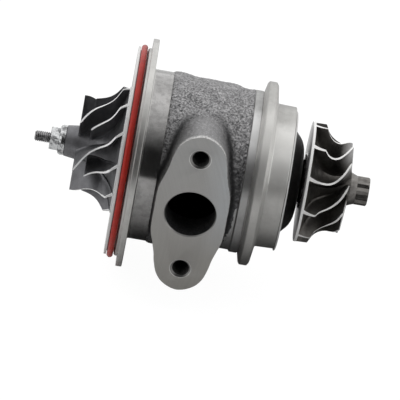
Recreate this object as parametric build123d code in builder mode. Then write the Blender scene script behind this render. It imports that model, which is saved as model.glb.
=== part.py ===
from build123d import *
import math
import os

# Turbocharger cartridge: centre housing with its rotor.
# Frame: the shaft axis is X, compressor lock nut at -X, turbine nose at +X, the oil drain
# flange faces -Y and Z is up. Millimetres.
# The origin is on the shaft axis, in the shoulder face of the compressor-side flange.
# The x positions below are drawn from the middle of the oil drain flange (a section plane of
# the casting); origin_x moves every finished piece so that the flange shoulder is at x = 0.

# ---------------------------------------------------------------- driving sizes
# compressor-side flange of the centre housing
plate_face_x = -24.15
plate_r = 33.0
oring_groove_x0, oring_groove_x1 = -23.35, -21.0
oring_cord_r = 1.0
oring_centre_r = 32.85
flange_x0, flange_x1 = -19.85, -17.95
flange_r = 36.15
origin_x = -flange_x0
# barrel
machined_r = 26.85
cast_x0, cast_x1 = -11.6, 14.3
ring_r = 25.8
ring_x1 = 16.95
# turbine-side clamp flange and spigot
clamp_r = 29.2
clamp_x0, clamp_x1 = 18.3, 20.6
spigot_r = 22.7
spigot_x1 = 28.0
# oil drain flange, on -Y
drain_y = -30.95
drain_bore_r = 7.8
drain_bore_depth = 5.6
drain_bolt_z = 20.0
drain_tap_r = 2.5
drain_tap_depth = 12.0
# oil feed pad, on +Y
feed_y = 30.5
feed_pad_r = 10.5
feed_tap_r = 4.5
feed_tap_depth = 10.0
# insert, the seal plate behind the compressor wheel
insert_r = 24.0
insert_x0, insert_x1 = -23.45, -17.3
insert_rim_x0 = -21.65
insert_nose_r = 21.6
seal_bore_r = 6.5
snap_x0, snap_x1 = -22.9, -21.7
snap_groove_r = 25.2
# thrust stack
thrust_pocket_r = 17.0
thrust_x0, thrust_x1 = -16.6, -14.2
thrust_bore_r = 5.8
collar_r = 8.5
# journals
journal_r = 3.25
stub_r = 2.0
thread_r = 1.75
thread_pitch = 0.6
bush_ri = 3.30
bush_ro = 5.25
bush_bore_r = 5.31
bush_c = (-10.5, -4.0)
bush_t = (13.5, 20.0)
# turbine-side seal
boss_r = 6.35
turbine_seal_bore_r = 6.42
# compressor wheel
cw_x0, cw_back = -38.15, -24.0
cw_r = 20.05
cw_nose_x = -41.75
cw_blades = 6
# turbine wheel
tw_back, tw_hub_end = 33.9, 48.6
tw_r = 19.1
tw_blades = 11
nose_x1 = 54.6
# lock nut
nut_x0, nut_x1 = -46.7, -44.05
nut_af = 7.1
nut_flange_r = 4.75
nut_turn = 28.2

os.makedirs("parts", exist_ok=True)


def interp(x, table):
    """Straight-line reading of a table of (x, value) pairs."""
    if x <= table[0][0]:
        return table[0][1]
    for (xa, va), (xb, vb) in zip(table, table[1:]):
        if x <= xb:
            return va + (vb - va) * (x - xa) / (xb - xa)
    return table[-1][1]


def save(part, name):
    placed = part.moved(Location((origin_x, 0, 0)))
    placed.label = name
    export_step(placed, "parts/" + name + ".step")


def diamond(table, end_z):
    """Closed loop of points (x, z) of the diamond flange from its half widths at each height."""
    right = [(w, z) for z, w in table]
    loop = right + [(0.0, end_z)] + [(-w, z) for w, z in reversed(right)]
    loop += [(-w, -z) for w, z in right[1:]] + [(0.0, -end_z)] + [(w, -z) for w, z in reversed(right[1:])]
    return loop


# half width of the drain flange at each height, at its face and where its pedestal sinks into the barrel
flange_face = [(0.0, 11.45), (5.0, 11.45), (8.5, 11.15), (12.0, 10.15), (15.5, 9.2), (19.5, 8.45), (23.0, 7.35), (25.6, 5.55), (27.4, 2.9)]
flange_root = [(0.0, 10.8), (5.0, 10.7), (8.0, 10.3), (11.0, 9.5), (14.0, 8.6), (17.0, 7.9), (19.7, 6.8), (21.8, 5.2), (23.2, 2.9)]


# ---------------------------------------------------------------- bearing housing
with BuildPart() as bearing_housing:
    # turned and cast outer form
    with BuildSketch(Plane.XY):
        with BuildLine():
            Polyline(
                (plate_face_x, 0),
                (plate_face_x, plate_r - 0.2),
                (plate_face_x + 0.2, plate_r),
                (oring_groove_x0, plate_r),
                (oring_groove_x0, oring_centre_r - oring_cord_r),
                (oring_groove_x1, oring_centre_r - oring_cord_r),
                (oring_groove_x1, 32.3),
                (-20.5, plate_r),
                (flange_x0, plate_r),
                (flange_x0, flange_r),
                (flange_x1 - 0.25, flange_r),
                (flange_x1, flange_r - 0.25),
                (flange_x1, machined_r + 0.6),
                (flange_x1 + 0.15, machined_r + 0.2),
                (flange_x1 + 0.6, machined_r),
                (cast_x0, machined_r),
                (cast_x0 + 0.25, 27.15),
                (-9.5, 27.3),
                (-7.0, 27.2),
                (-5.0, 26.75),
                (-3.0, 26.6),
                (7.3, 26.5),
                (8.9, 26.35),
                (10.4, 25.75),
                (12.0, 25.2),
                (13.4, 25.2),
                (cast_x1, 25.5),
                (cast_x1 + 0.25, ring_r),
                (ring_x1, ring_r),
                (17.85, 28.55),
                (clamp_x0, clamp_r),
                (clamp_x1, clamp_r),
                (21.15, 28.4),
                (22.05, 22.95),
                (22.3, spigot_r),
                (spigot_x1 - 0.15, spigot_r - 0.2),
                (spigot_x1, spigot_r - 0.35),
                (spigot_x1, 18.9),
                (28.2, 18.6),
                (28.2, 13.9),
                (29.9, 10.9),
                (30.3, 10.2),
                (30.3, 0),
                close=True,
            )
        make_face()
    revolve(axis=Axis.X)
    # drain flange: the diamond plate and the pedestal that tapers back into the barrel
    with BuildSketch(Plane.XZ.offset(-drain_y)):
        with BuildLine():
            Spline(*diamond(flange_face, 28.1), periodic=True)
        make_face()
    with BuildSketch(Plane.XZ.offset(-drain_y - 3.0)):
        with BuildLine():
            Spline(*diamond([(z, w - 0.2) for z, w in flange_face], 27.9), periodic=True)
        make_face()
    with BuildSketch(Plane.XZ.offset(9.0)):
        with BuildLine():
            Spline(*diamond(flange_root, 23.8), periodic=True)
        make_face()
    loft(ruled=True)
    # oil feed pad
    with BuildSketch(Plane.XZ.offset(-14.0)):
        Circle(feed_pad_r + 2.2)
    with BuildSketch(Plane.XZ.offset(-feed_y)):
        Circle(feed_pad_r)
    loft(ruled=True)

    # ---- hollows
    # front: insert seat, its snap ring groove, thrust pocket and collar chamber
    with BuildSketch(Plane.XY):
        with BuildLine():
            Polyline(
                (plate_face_x - 1, 0),
                (plate_face_x - 1, insert_r + 0.3),
                (plate_face_x, insert_r + 0.3),
                (plate_face_x + 0.3, insert_r),
                (snap_x0, insert_r),
                (snap_x0, snap_groove_r),
                (snap_x1, snap_groove_r),
                (snap_x1, insert_r),
                (insert_x1, insert_r),
                (insert_x1, thrust_pocket_r),
                (thrust_x1, thrust_pocket_r),
                (thrust_x1, 10.5),
                (-11.0, 10.5),
                (-10.6, 6.2),
                (-10.6, 0),
                close=True,
            )
        make_face()
    revolve(axis=Axis.X, mode=Mode.SUBTRACT)
    # bearing bores with snap ring grooves, then the turbine-side slinger chamber and seal bore
    with BuildSketch(Plane.XY):
        with BuildLine():
            Polyline(
                (-11.0, 0),
                (-11.0, bush_bore_r),
                (-3.8, bush_bore_r),
                (-3.8, 6.1),
                (-2.9, 6.1),
                (-2.9, bush_bore_r),
                (-2.0, bush_bore_r),
                (-1.5, 6.0),
                (11.0, 6.0),
                (11.5, bush_bore_r),
                (12.3, bush_bore_r),
                (12.3, 6.1),
                (13.2, 6.1),
                (13.2, bush_bore_r),
                (20.2, bush_bore_r),
                (20.2, 6.1),
                (21.1, 6.1),
                (21.1, bush_bore_r),
                (21.7, bush_bore_r),
                (21.7, 10.5),
                (24.2, 10.5),
                (25.0, turbine_seal_bore_r),
                (31.5, turbine_seal_bore_r),
                (31.5, 0),
                close=True,
            )
        make_face()
    revolve(axis=Axis.X, mode=Mode.SUBTRACT)
    # oil drain gallery inside the barrel: the drain half is hollow around both bearing bosses
    with BuildPart(mode=Mode.PRIVATE) as gallery:
        with BuildSketch(Plane.XY):
            with BuildLine():
                Polyline((-9.4, 8.6), (-9.4, 19.5), (-7.4, 21.5), (7.6, 21.5), (9.6, 19.5), (9.6, 8.6), close=True)
            make_face()
        revolve(axis=Axis.X)
        with BuildSketch(Plane.XY):
            with BuildLine():
                Polyline((-1.5, 0), (-1.5, 9.5), (11.0, 9.5), (11.0, 0), close=True)
            make_face()
        revolve(axis=Axis.X)
        # keep the half towards the drain
        with Locations((0, 30 + 1.5, 0)):
            Box(60, 60, 80, mode=Mode.SUBTRACT)
    add(gallery.part, mode=Mode.SUBTRACT)
    # ways for the oil from the thrust chamber and from the slinger chamber
    with Locations((-12.0, -13.0, 0)):
        Box(4.4, 13.0, 14.0, mode=Mode.SUBTRACT)
    with Locations((-10.0, -15.0, 0)):
        Box(4.0, 7.0, 14.0, mode=Mode.SUBTRACT)
    with Locations((16.4, -15.6, 0)):
        Box(15.6, 5.6, 11.0, mode=Mode.SUBTRACT)
    with Locations((22.95, -9.5, 0)):
        Box(2.5, 14.0, 9.0, mode=Mode.SUBTRACT)
    # drain bore and its funnel into the gallery
    with Locations(Plane.XZ.offset(-drain_y)):
        Cylinder(drain_bore_r, drain_bore_depth, align=(Align.CENTER, Align.CENTER, Align.MAX), mode=Mode.SUBTRACT)
    with BuildSketch(Plane.XZ.offset(-drain_y - drain_bore_depth)):
        Circle(drain_bore_r)
    with BuildSketch(Plane.XZ.offset(13.0)):
        Circle(8.6)
    loft(ruled=True, mode=Mode.SUBTRACT)
    # 0.4 mm lead-in on the drain bore
    with BuildSketch(Plane.XZ.offset(-drain_y)):
        Circle(drain_bore_r + 0.4)
    with BuildSketch(Plane.XZ.offset(-drain_y - 0.4)):
        Circle(drain_bore_r)
    loft(ruled=True, mode=Mode.SUBTRACT)
    # two tapped holes with countersunk mouths
    for sz in (-1, 1):
        with Locations(Plane(origin=(0, drain_y, sz * drain_bolt_z), z_dir=(0, -1, 0))):
            Cylinder(drain_tap_r, drain_tap_depth, align=(Align.CENTER, Align.CENTER, Align.MAX), mode=Mode.SUBTRACT)
            Cone(drain_tap_r, 3.4, 0.45, align=(Align.CENTER, Align.CENTER, Align.MAX), mode=Mode.SUBTRACT)
    # oil feed port and the drillings to both bearings and the thrust bearing
    with Locations(Plane(origin=(0, feed_y, 0), z_dir=(0, 1, 0))):
        Cylinder(feed_tap_r, feed_tap_depth, align=(Align.CENTER, Align.CENTER, Align.MAX), mode=Mode.SUBTRACT)
        Cone(feed_tap_r, 5.3, 0.8, align=(Align.CENTER, Align.CENTER, Align.MAX), mode=Mode.SUBTRACT)
    for x_end, y_end, r_hole in ((-7.25, 5.0, 1.3), (16.75, 5.0, 1.3), (-15.4, 12.0, 1.0)):
        start = Vector(0, feed_y - feed_tap_depth + 1.2, 0)
        end = Vector(x_end, y_end, 0)
        way = end - start
        with Locations(Plane(origin=(start.X, start.Y, start.Z), z_dir=(way.X, way.Y, way.Z))):
            Cylinder(r_hole, way.length, align=(Align.CENTER, Align.CENTER, Align.MIN), mode=Mode.SUBTRACT)
    # seats of the two thrust bearing pins
    for sz in (-1, 1):
        with Locations(Plane(origin=(thrust_x1, 5.0, sz * 13.0), z_dir=(1, 0, 0))):
            Cylinder(1.0, 3.2, align=(Align.CENTER, Align.CENTER, Align.MIN), mode=Mode.SUBTRACT)
save(bearing_housing.part, "bearing_housing")
print("bearing_housing", bearing_housing.part.is_valid, len(bearing_housing.solids()))

# ---------------------------------------------------------------- seals and rings in the housing
with BuildPart() as flange_o_ring:
    with BuildSketch(Plane.XY):
        with Locations(((oring_groove_x0 + oring_groove_x1) / 2, oring_centre_r)):
            Circle(oring_cord_r)
    revolve(axis=Axis.X)
save(flange_o_ring.part, "flange_o_ring")

with BuildPart() as seal_insert:
    with BuildSketch(Plane.XY):
        with BuildLine():
            Polyline(
                (insert_x0, seal_bore_r + 0.3),
                (insert_x0, insert_nose_r - 0.3),
                (insert_x0 + 0.3, insert_nose_r),
                (insert_rim_x0, insert_nose_r),
                (insert_rim_x0, insert_r),
                (-20.6, insert_r),
                (-20.6, 22.45),
                (-18.7, 22.45),
                (-18.7, insert_r),
                (insert_x1, insert_r),
                (insert_x1, 15.6),
                (-19.4, 14.4),
                (-19.4, 9.0),
                (-18.6, 8.0),
                (-18.6, seal_bore_r),
                (insert_x0 + 0.3, seal_bore_r),
                close=True,
            )
        make_face()
    revolve(axis=Axis.X)
save(seal_insert.part, "seal_insert")

with BuildPart() as insert_o_ring:
    with BuildSketch(Plane.XY):
        with Locations((-19.65, 23.225)):
            Circle(0.775)
    revolve(axis=Axis.X)
save(insert_o_ring.part, "insert_o_ring")

# internal snap ring with its gap and two plier eyes
with BuildPart() as insert_snap_ring:
    with BuildSketch(Plane.YZ.offset(snap_x0 + 0.05)):
        Circle(25.1)
        Circle(23.0, mode=Mode.SUBTRACT)
        for eye_angle in (76, 104):
            with PolarLocations(23.2, 1, eye_angle):
                Circle(1.45)
        with PolarLocations(23.5, 1, 90):
            Rectangle(6.0, 6.0, mode=Mode.SUBTRACT)
        for eye_angle in (76, 104):
            with PolarLocations(23.2, 1, eye_angle):
                Circle(0.65, mode=Mode.SUBTRACT)
    extrude(amount=1.0)
save(insert_snap_ring.part, "insert_snap_ring")

# ---------------------------------------------------------------- thrust stack
with BuildPart() as oil_deflector:
    with BuildSketch(Plane.YZ.offset(-17.25)):
        Circle(16.9)
        Circle(9.4, mode=Mode.SUBTRACT)
        with Locations((-18.0, 0)):
            Rectangle(12.0, 30.0, mode=Mode.SUBTRACT)
    extrude(amount=0.6)
    # tongue that leads the oil down towards the drain
    with BuildSketch(Plane.XY):
        with BuildLine():
            Polyline((-17.25, -9.6), (-16.65, -9.6), (-16.65, -11.9), (-12.3, -16.2), (-12.7, -16.7), (-17.25, -12.3), close=True)
        make_face()
    extrude(amount=5.5, both=True)
save(oil_deflector.part, "oil_deflector")

with BuildPart() as thrust_bearing:
    with BuildSketch(Plane.YZ.offset(thrust_x0)):
        Circle(16.9)
        Circle(thrust_bore_r, mode=Mode.SUBTRACT)
        # flat on the drain side
        with Locations((-16.0, 0)):
            Rectangle(12.0, 36.0, mode=Mode.SUBTRACT)
        # notches for the two pins
        with Locations((5.0, 13.0), (5.0, -13.0)):
            Circle(1.05, mode=Mode.SUBTRACT)
    extrude(amount=thrust_x1 - thrust_x0)
    # oil grooves between the pads, both faces
    for gx in (thrust_x0, thrust_x1 - 0.4):
        for ga in (30, 120, 210, 300):
            with BuildSketch(Plane(origin=(gx, 0, 0), x_dir=(0, 1, 0), z_dir=(1, 0, 0))):
                with Locations(Location((0, 0), ga)):
                    with Locations((6.9, 0)):
                        Rectangle(2.6, 0.9)
            extrude(amount=0.4, mode=Mode.SUBTRACT)
save(thrust_bearing.part, "thrust_bearing")

with BuildPart() as thrust_bearing_pins:
    for sz in (-1, 1):
        with Locations(Plane(origin=(thrust_x0, 5.0, sz * 13.0), z_dir=(1, 0, 0))):
            Cylinder(1.0, 5.4, align=(Align.CENTER, Align.CENTER, Align.MIN))
save(thrust_bearing_pins.part, "thrust_bearing_pins")

with BuildPart() as thrust_sleeve:
    with BuildSketch(Plane.XY):
        with BuildLine():
            Polyline(
                (-23.6, stub_r),
                (-23.6, 6.42),
                (-22.2, 6.42),
                (-22.2, 5.3),
                (-20.9, 5.3),
                (-20.9, 6.42),
                (-18.3, 6.42),
                (-17.75, collar_r),
                (-16.7, collar_r),
                (-16.7, 5.5),
                (-14.1, 5.5),
                (-14.1, stub_r),
                close=True,
            )
        make_face()
    revolve(axis=Axis.X)
save(thrust_sleeve.part, "thrust_sleeve")

with BuildPart() as thrust_ring:
    with BuildSketch(Plane.XY):
        with BuildLine():
            Polyline((-14.1, stub_r), (-14.1, collar_r), (-12.9, collar_r), (-12.6, 8.2), (-12.6, stub_r), close=True)
        make_face()
    revolve(axis=Axis.X)
save(thrust_ring.part, "thrust_ring")


def piston_ring(x0, x1, r_in, r_out, gap_deg):
    """Split seal ring with a narrow gap on the top."""
    with BuildPart() as ring:
        with BuildSketch(Plane.YZ.offset(x0)):
            Circle(r_out)
            Circle(r_in, mode=Mode.SUBTRACT)
            with PolarLocations((r_in + r_out) / 2, 1, gap_deg):
                Rectangle(3.0, 0.25, mode=Mode.SUBTRACT)
        extrude(amount=x1 - x0)
    return ring.part


save(piston_ring(-22.1, -21.0, 5.42, seal_bore_r, 90), "compressor_piston_ring")
save(piston_ring(26.6, 27.6, 5.37, turbine_seal_bore_r, 100), "turbine_piston_ring")


# ---------------------------------------------------------------- journal bearings
def bush(x0, x1):
    """Fully floating bearing bush with radial oil holes and chamfered edges."""
    xm = (x0 + x1) / 2
    with BuildPart() as part:
        with BuildSketch(Plane.XY):
            with BuildLine():
                Polyline(
                    (x0, bush_ri + 0.3),
                    (x0, bush_ro - 0.3),
                    (x0 + 0.3, bush_ro),
                    (x1 - 0.3, bush_ro),
                    (x1, bush_ro - 0.3),
                    (x1, bush_ri + 0.3),
                    (x1 - 0.3, bush_ri),
                    (x0 + 0.3, bush_ri),
                    close=True,
                )
            make_face()
        revolve(axis=Axis.X)
        for k in range(6):
            a = math.radians(60 * k)
            with Locations(Plane(origin=(xm, 0, 0), z_dir=(0, math.cos(a), math.sin(a)))):
                Cylinder(0.75, 8, align=(Align.CENTER, Align.CENTER, Align.MIN), mode=Mode.SUBTRACT)
    return part.part


save(bush(*bush_c), "journal_bearing_compressor")
save(bush(*bush_t), "journal_bearing_turbine")

# three identical internal snap rings that keep the bushes in place
with BuildPart() as bearing_snap_rings:
    for x0 in (-3.75, 12.35, 20.25):
        with BuildSketch(Plane.YZ.offset(x0)):
            Circle(6.05)
            Circle(4.7, mode=Mode.SUBTRACT)
            with PolarLocations(5.4, 1, 75):
                Rectangle(3.0, 3.0, mode=Mode.SUBTRACT)
        extrude(amount=0.8)
save(bearing_snap_rings.part, "bearing_snap_rings")

# ---------------------------------------------------------------- heat shield
# it is loose until the turbine housing clamps it, and hangs a little low
shield_drop = 1.1
with BuildPart() as heat_shield:
    with BuildSketch(Plane.XY):
        with BuildLine():
            Polyline(
                (28.12, 21.5),
                (28.12, 22.0),
                (28.25, 22.2),
                (28.45, 22.2),
                (28.65, 21.9),
                (28.75, 21.4),
                (28.8, 19.5),
                (28.8, 17.4),
                (28.97, 16.75),
                (29.4, 16.0),
                (30.1, 15.2),
                (30.85, 14.4),
                (31.55, 13.4),
                (32.05, 12.3),
                (32.4, 11.2),
                (32.62, 9.8),
                (32.7, 8.8),
                (32.7, 8.0),
                (32.1, 8.0),
                (32.02, 9.6),
                (31.8, 11.0),
                (31.48, 12.0),
                (31.02, 13.0),
                (30.4, 13.9),
                (29.65, 14.7),
                (28.95, 15.5),
                (28.52, 16.4),
                (28.35, 17.2),
                (28.35, 21.4),
                close=True,
            )
        make_face()
    revolve(axis=Axis.X)
heat_shield_part = heat_shield.part.moved(Location((0, 0, -shield_drop)))
save(heat_shield_part, "heat_shield")

# ---------------------------------------------------------------- rotor: shaft
with BuildPart() as shaft:
    with BuildSketch(Plane.XY):
        with BuildLine():
            pts = [(-51.6, 0), (-51.6, 1.15), (-51.2, 1.45)]
            x = -51.2
            while x + thread_pitch < nut_x0 + 4.6:
                pts += [(x + thread_pitch * 0.4, thread_r), (x + thread_pitch * 0.55, thread_r), (x + thread_pitch, 1.42)]
                x += thread_pitch
            pts += [(-42.4, thread_r), (-42.0, stub_r), (-12.6, stub_r), (-12.6, 3.0), (-12.35, journal_r)]
            pts += [(-2.0, journal_r), (-1.6, 2.9), (11.1, 2.9), (11.5, journal_r), (21.2, journal_r)]
            pts += [(21.6, 3.6), (22.4, 3.6), (22.4, 5.9), (22.7, boss_r), (24.9, boss_r), (24.9, 0)]
            Polyline(*pts, close=True)
        make_face()
    revolve(axis=Axis.X)
save(shaft.part, "shaft")

# flanged hexagon lock nut
with BuildPart() as lock_nut:
    with BuildSketch(Plane.YZ.offset(nut_x0)):
        RegularPolygon(nut_af / 2, 6, major_radius=False, rotation=nut_turn)
    extrude(amount=nut_x1 - nut_x0 + 0.3)
    # 30 degree bevel on the outer corners
    with BuildSketch(Plane.XY):
        with BuildLine():
            Polyline((nut_x0, 0), (nut_x0, 3.5), (nut_x0 + 0.45, 4.2), (nut_x1 + 1, 4.2), (nut_x1 + 1, 0), close=True)
        make_face()
    revolve(axis=Axis.X, mode=Mode.INTERSECT)
    with BuildSketch(Plane.XY):
        with BuildLine():
            Polyline((nut_x1, 0), (nut_x1, 3.9), (nut_x1 + 0.75, nut_flange_r - 0.1), (nut_x1 + 1.0, nut_flange_r), (cw_nose_x - 0.15, nut_flange_r), (cw_nose_x, nut_flange_r - 0.15), (cw_nose_x, 0), close=True)
        make_face()
    revolve(axis=Axis.X)
    with BuildSketch(Plane.XY):
        with BuildLine():
            Polyline(
                (nut_x0 - 0.1, 0), (nut_x0 - 0.1, 2.3), (nut_x0 + 0.55, thread_r), (-42.4, thread_r), (-42.0, stub_r), (cw_nose_x + 0.1, stub_r), (cw_nose_x + 0.1, 0), close=True
            )
        make_face()
    revolve(axis=Axis.X, mode=Mode.SUBTRACT)
save(lock_nut.part, "lock_nut")

# ---------------------------------------------------------------- compressor wheel
# blade angle about the shaft against x, in degrees; a blade is radial lines at that angle
cw_angle = [(-38.2, 5.6), (-36.9, -4.2), (-35.4, -13.8), (-33.7, -22.0), (-32.0, -27.0), (-30.45, -30.5), (-29.2, -32.6), (-28.0, -35.6), (-27.3, -38.3), (-26.7, -40.8), (-25.6, -43.6), (-24.2, -46.8)]
cw_hub = [(cw_x0, 5.35), (-36.2, 5.65), (-34.0, 6.25), (-32.0, 7.15), (-30.2, 8.5), (-28.6, 10.3), (-27.15, 12.6), (-25.95, 15.3), (-25.05, 18.0), (-24.5, cw_r)]
cw_shroud = [(cw_x0, 15.07), (-36.5, 15.0), (-34.4, 14.93), (-32.8, 15.05), (-31.4, 15.4), (-30.2, 15.95), (-29.1, 16.75), (-28.2, 17.7), (-27.4, 18.85), (-26.65, cw_r - 0.05)]


def blade_bar(stations, angle_table, r_in, r_out, t_in, t_out, offset_deg):
    """A blade before trimming: a loft through radial bars that stand at the blade angle at each x."""
    with BuildPart() as bar:
        for x in stations:
            a = math.radians(interp(x, angle_table) + offset_deg)
            slope = abs(interp(x + 0.6, angle_table) - interp(x - 0.6, angle_table)) / 1.2
            half = []
            for r, t in ((r_in, t_in), (r_out, t_out)):
                half.append(0.5 * t * math.hypot(1.0, r * math.radians(slope)))
            # the angle runs from -Y towards -Z
            ry, rz = -math.cos(a), -math.sin(a)
            ty, tz = math.sin(a), -math.cos(a)
            corners = [
                (r_in * ry - half[0] * ty, r_in * rz - half[0] * tz),
                (r_out * ry - half[1] * ty, r_out * rz - half[1] * tz),
                (r_out * ry + half[1] * ty, r_out * rz + half[1] * tz),
                (r_in * ry + half[0] * ty, r_in * rz + half[0] * tz),
            ]
            with BuildSketch(Plane(origin=(x, 0, 0), x_dir=(0, 1, 0), z_dir=(1, 0, 0))):
                with BuildLine():
                    Polyline(*corners, close=True)
                make_face()
        loft()
    return bar.part


def revolved(points):
    with BuildPart() as body:
        with BuildSketch(Plane.XY):
            with BuildLine():
                Polyline(*points, close=True)
            make_face()
        revolve(axis=Axis.X)
    return body.part


cw_full_x = [cw_x0, -37.3, -36.3, -35.2, -34.0, -32.6, -31.0, -29.4, -28.2, -27.2, -26.2, -24.3]
cw_split_x = [-34.4, -33.4, -32.2, -30.8, -29.4, -28.2, -27.2, -26.2, -24.3]
cw_envelope = revolved([(cw_x0 - 0.5, 0), (cw_x0 - 0.5, 15.07)] + cw_shroud[1:] + [(-24.25, cw_r - 0.05), (-24.25, 0)])
full = blade_bar(cw_full_x, cw_angle, 4.6, 21.0, 1.0, 0.55, 0.0) & cw_envelope
split_blade = blade_bar(cw_split_x, cw_angle, 5.4, 21.0, 0.95, 0.55, -30.0) & cw_envelope
with BuildPart() as compressor_wheel:
    add(
        revolved(
            [(cw_nose_x, stub_r), (cw_nose_x, 4.75), (cw_nose_x + 0.2, 4.85)]
            + cw_hub
            + [(cw_back - 0.1, cw_r), (cw_back, cw_r - 0.1), (cw_back, 9.0), (-23.8, 5.6), (-23.6, 5.4), (-23.6, stub_r)]
        )
    )
    for k in range(cw_blades):
        add(full.rotate(Axis.X, 60.0 * k))
        add(split_blade.rotate(Axis.X, 60.0 * k))
save(compressor_wheel.part, "compressor_wheel")
print("compressor_wheel", compressor_wheel.part.is_valid, len(compressor_wheel.solids()))

# ---------------------------------------------------------------- turbine wheel
tw_angle = [(34.0, -34.9), (35.0, -34.1), (36.5, -32.6), (38.5, -31.8), (40.2, -31.8), (41.0, -32.2), (41.8, -33.1), (42.6, -34.8), (43.3, -36.9), (44.0, -39.9), (44.7, -43.4), (45.4, -47.4), (46.0, -51.7), (46.6, -57.4), (47.2, -63.6), (48.0, -71.5), (48.8, -78.5)]
tw_hub = [(tw_back + 0.85, tw_r), (34.95, 17.6), (35.4, 15.6), (36.2, 13.3), (37.5, 11.0), (39.3, 9.1), (41.5, 7.6), (44.0, 6.5), (46.5, 5.75), (tw_hub_end, 5.3)]
tw_shroud = [(34.3, 19.05), (38.42, 19.05), (38.9, 18.05), (39.5, 16.85), (40.3, 15.85), (41.2, 15.13), (42.3, 14.53), (43.5, 14.2), (44.9, 14.25), (46.2, 14.42), (47.25, 14.4)]
tw_full_x = [34.2, 36.0, 38.0, 39.8, 41.2, 42.4, 43.5, 44.5, 45.4, 46.3, 47.2, 48.5]
tw_envelope = revolved([(34.0, 0), (34.0, 19.05)] + tw_shroud[1:] + [(47.45, 14.15), (48.05, 9.5), (48.3, 4.5), (48.3, 0)])
tblade = blade_bar(tw_full_x, tw_angle, 4.2, 20.5, 1.35, 0.62, 0.0) & tw_envelope
with BuildPart() as turbine_wheel:
    add(
        revolved(
            [(24.9, 0), (24.9, boss_r), (26.5, boss_r), (26.5, 5.2), (27.7, 5.2), (27.7, boss_r), (32.9, boss_r), (33.2, 6.9), (33.25, 8.4), (33.5, 8.8), (tw_back, 9.0), (tw_back, tw_r - 0.1), (tw_back + 0.1, tw_r)]
            + tw_hub
            + [(50.7, 4.6), (50.7, 0)]
        )
    )
    for k in range(tw_blades):
        add(tblade.rotate(Axis.X, 360.0 / tw_blades * k))
    # twelve-point nose
    with BuildSketch(Plane.YZ.offset(50.6)):
        RegularPolygon(4.5, 6)
        RegularPolygon(4.5, 6, rotation=30)
    extrude(amount=nose_x1 - 50.6)
save(turbine_wheel.part, "turbine_wheel")
print("turbine_wheel", turbine_wheel.part.is_valid, len(turbine_wheel.solids()))
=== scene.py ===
import math

import bpy
import numpy as np
from mathutils import Matrix, Vector


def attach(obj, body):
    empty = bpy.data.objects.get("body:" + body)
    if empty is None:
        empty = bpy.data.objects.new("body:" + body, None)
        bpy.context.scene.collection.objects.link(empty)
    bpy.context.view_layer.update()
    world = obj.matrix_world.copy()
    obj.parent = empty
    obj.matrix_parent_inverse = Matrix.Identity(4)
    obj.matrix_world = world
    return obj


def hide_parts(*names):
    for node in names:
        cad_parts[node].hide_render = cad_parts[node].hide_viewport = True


# Turbocharger cartridge. Shapes are worked out in millimetres in the drawing's own x, which starts
# at the middle of the oil drain flange; OX shifts them to the row frame.
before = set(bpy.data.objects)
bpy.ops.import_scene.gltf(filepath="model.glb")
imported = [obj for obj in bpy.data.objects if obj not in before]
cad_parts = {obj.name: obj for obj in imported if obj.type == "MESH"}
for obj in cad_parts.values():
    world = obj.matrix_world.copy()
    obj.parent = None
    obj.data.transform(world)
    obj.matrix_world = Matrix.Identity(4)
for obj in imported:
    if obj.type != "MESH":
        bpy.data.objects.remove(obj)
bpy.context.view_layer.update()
scene = bpy.context.scene
OX, MM = 19.85, 0.001


# ------------------------------------------------------------------ camera
def set_camera():
    yaw, el, roll = (math.radians(a) for a in (-1.826, 31.806, 10.679))
    back = Vector((math.sin(yaw) * math.cos(el), -math.cos(yaw) * math.cos(el), math.sin(el)))
    fwd = -back
    right = fwd.cross(Vector((0, 0, 1))).normalized()
    up = right.cross(fwd)
    r = math.cos(roll) * right + math.sin(roll) * up
    w = -math.sin(roll) * right + math.cos(roll) * up
    cam = bpy.data.cameras.new("camera")
    cam.sensor_width = 36.0
    cam.lens = 338.9
    cam.clip_start, cam.clip_end = 0.05, 20.0
    ob = bpy.data.objects.new("camera", cam)
    scene.collection.objects.link(ob)
    place = Vector(((-29.106 + OX) * MM, -1010.435 * MM, 613.612 * MM))
    ob.matrix_world = Matrix(
        ((r.x, w.x, back.x, place.x), (r.y, w.y, back.y, place.y), (r.z, w.z, back.z, place.z), (0, 0, 0, 1))
    )
    scene.camera = ob


set_camera()
scene.view_settings.view_transform = "Standard"
scene.view_settings.look = "None"


# ------------------------------------------------------------------ mesh tools
def clean_table(table, width=0.5, n=700):
    """Smooth reading of a table of (x, value): straight lines rounded off over about width."""
    t = np.array(table, float)
    x = np.linspace(t[0, 0] - 2, t[-1, 0] + 2, n)
    left = (t[1, 1] - t[0, 1]) / (t[1, 0] - t[0, 0])
    right = (t[-1, 1] - t[-2, 1]) / (t[-1, 0] - t[-2, 0])
    y = np.interp(x, t[:, 0], t[:, 1])
    y = np.where(x < t[0, 0], t[0, 1] + left * (x - t[0, 0]), y)
    y = np.where(x > t[-1, 0], t[-1, 1] + right * (x - t[-1, 0]), y)
    step = x[1] - x[0]
    k = np.arange(-int(3 * width / step), int(3 * width / step) + 1) * step
    g = np.exp(-0.5 * (k / width) ** 2)
    g /= g.sum()
    pad = len(k) // 2
    ext = np.concatenate([y[0] + (np.arange(-pad, 0)) * (y[1] - y[0]), y, y[-1] + np.arange(1, pad + 1) * (y[-1] - y[-2])])
    return x, np.convolve(ext, g, "valid")


def read(smooth, x):
    return np.interp(x, smooth[0], smooth[1])


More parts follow.
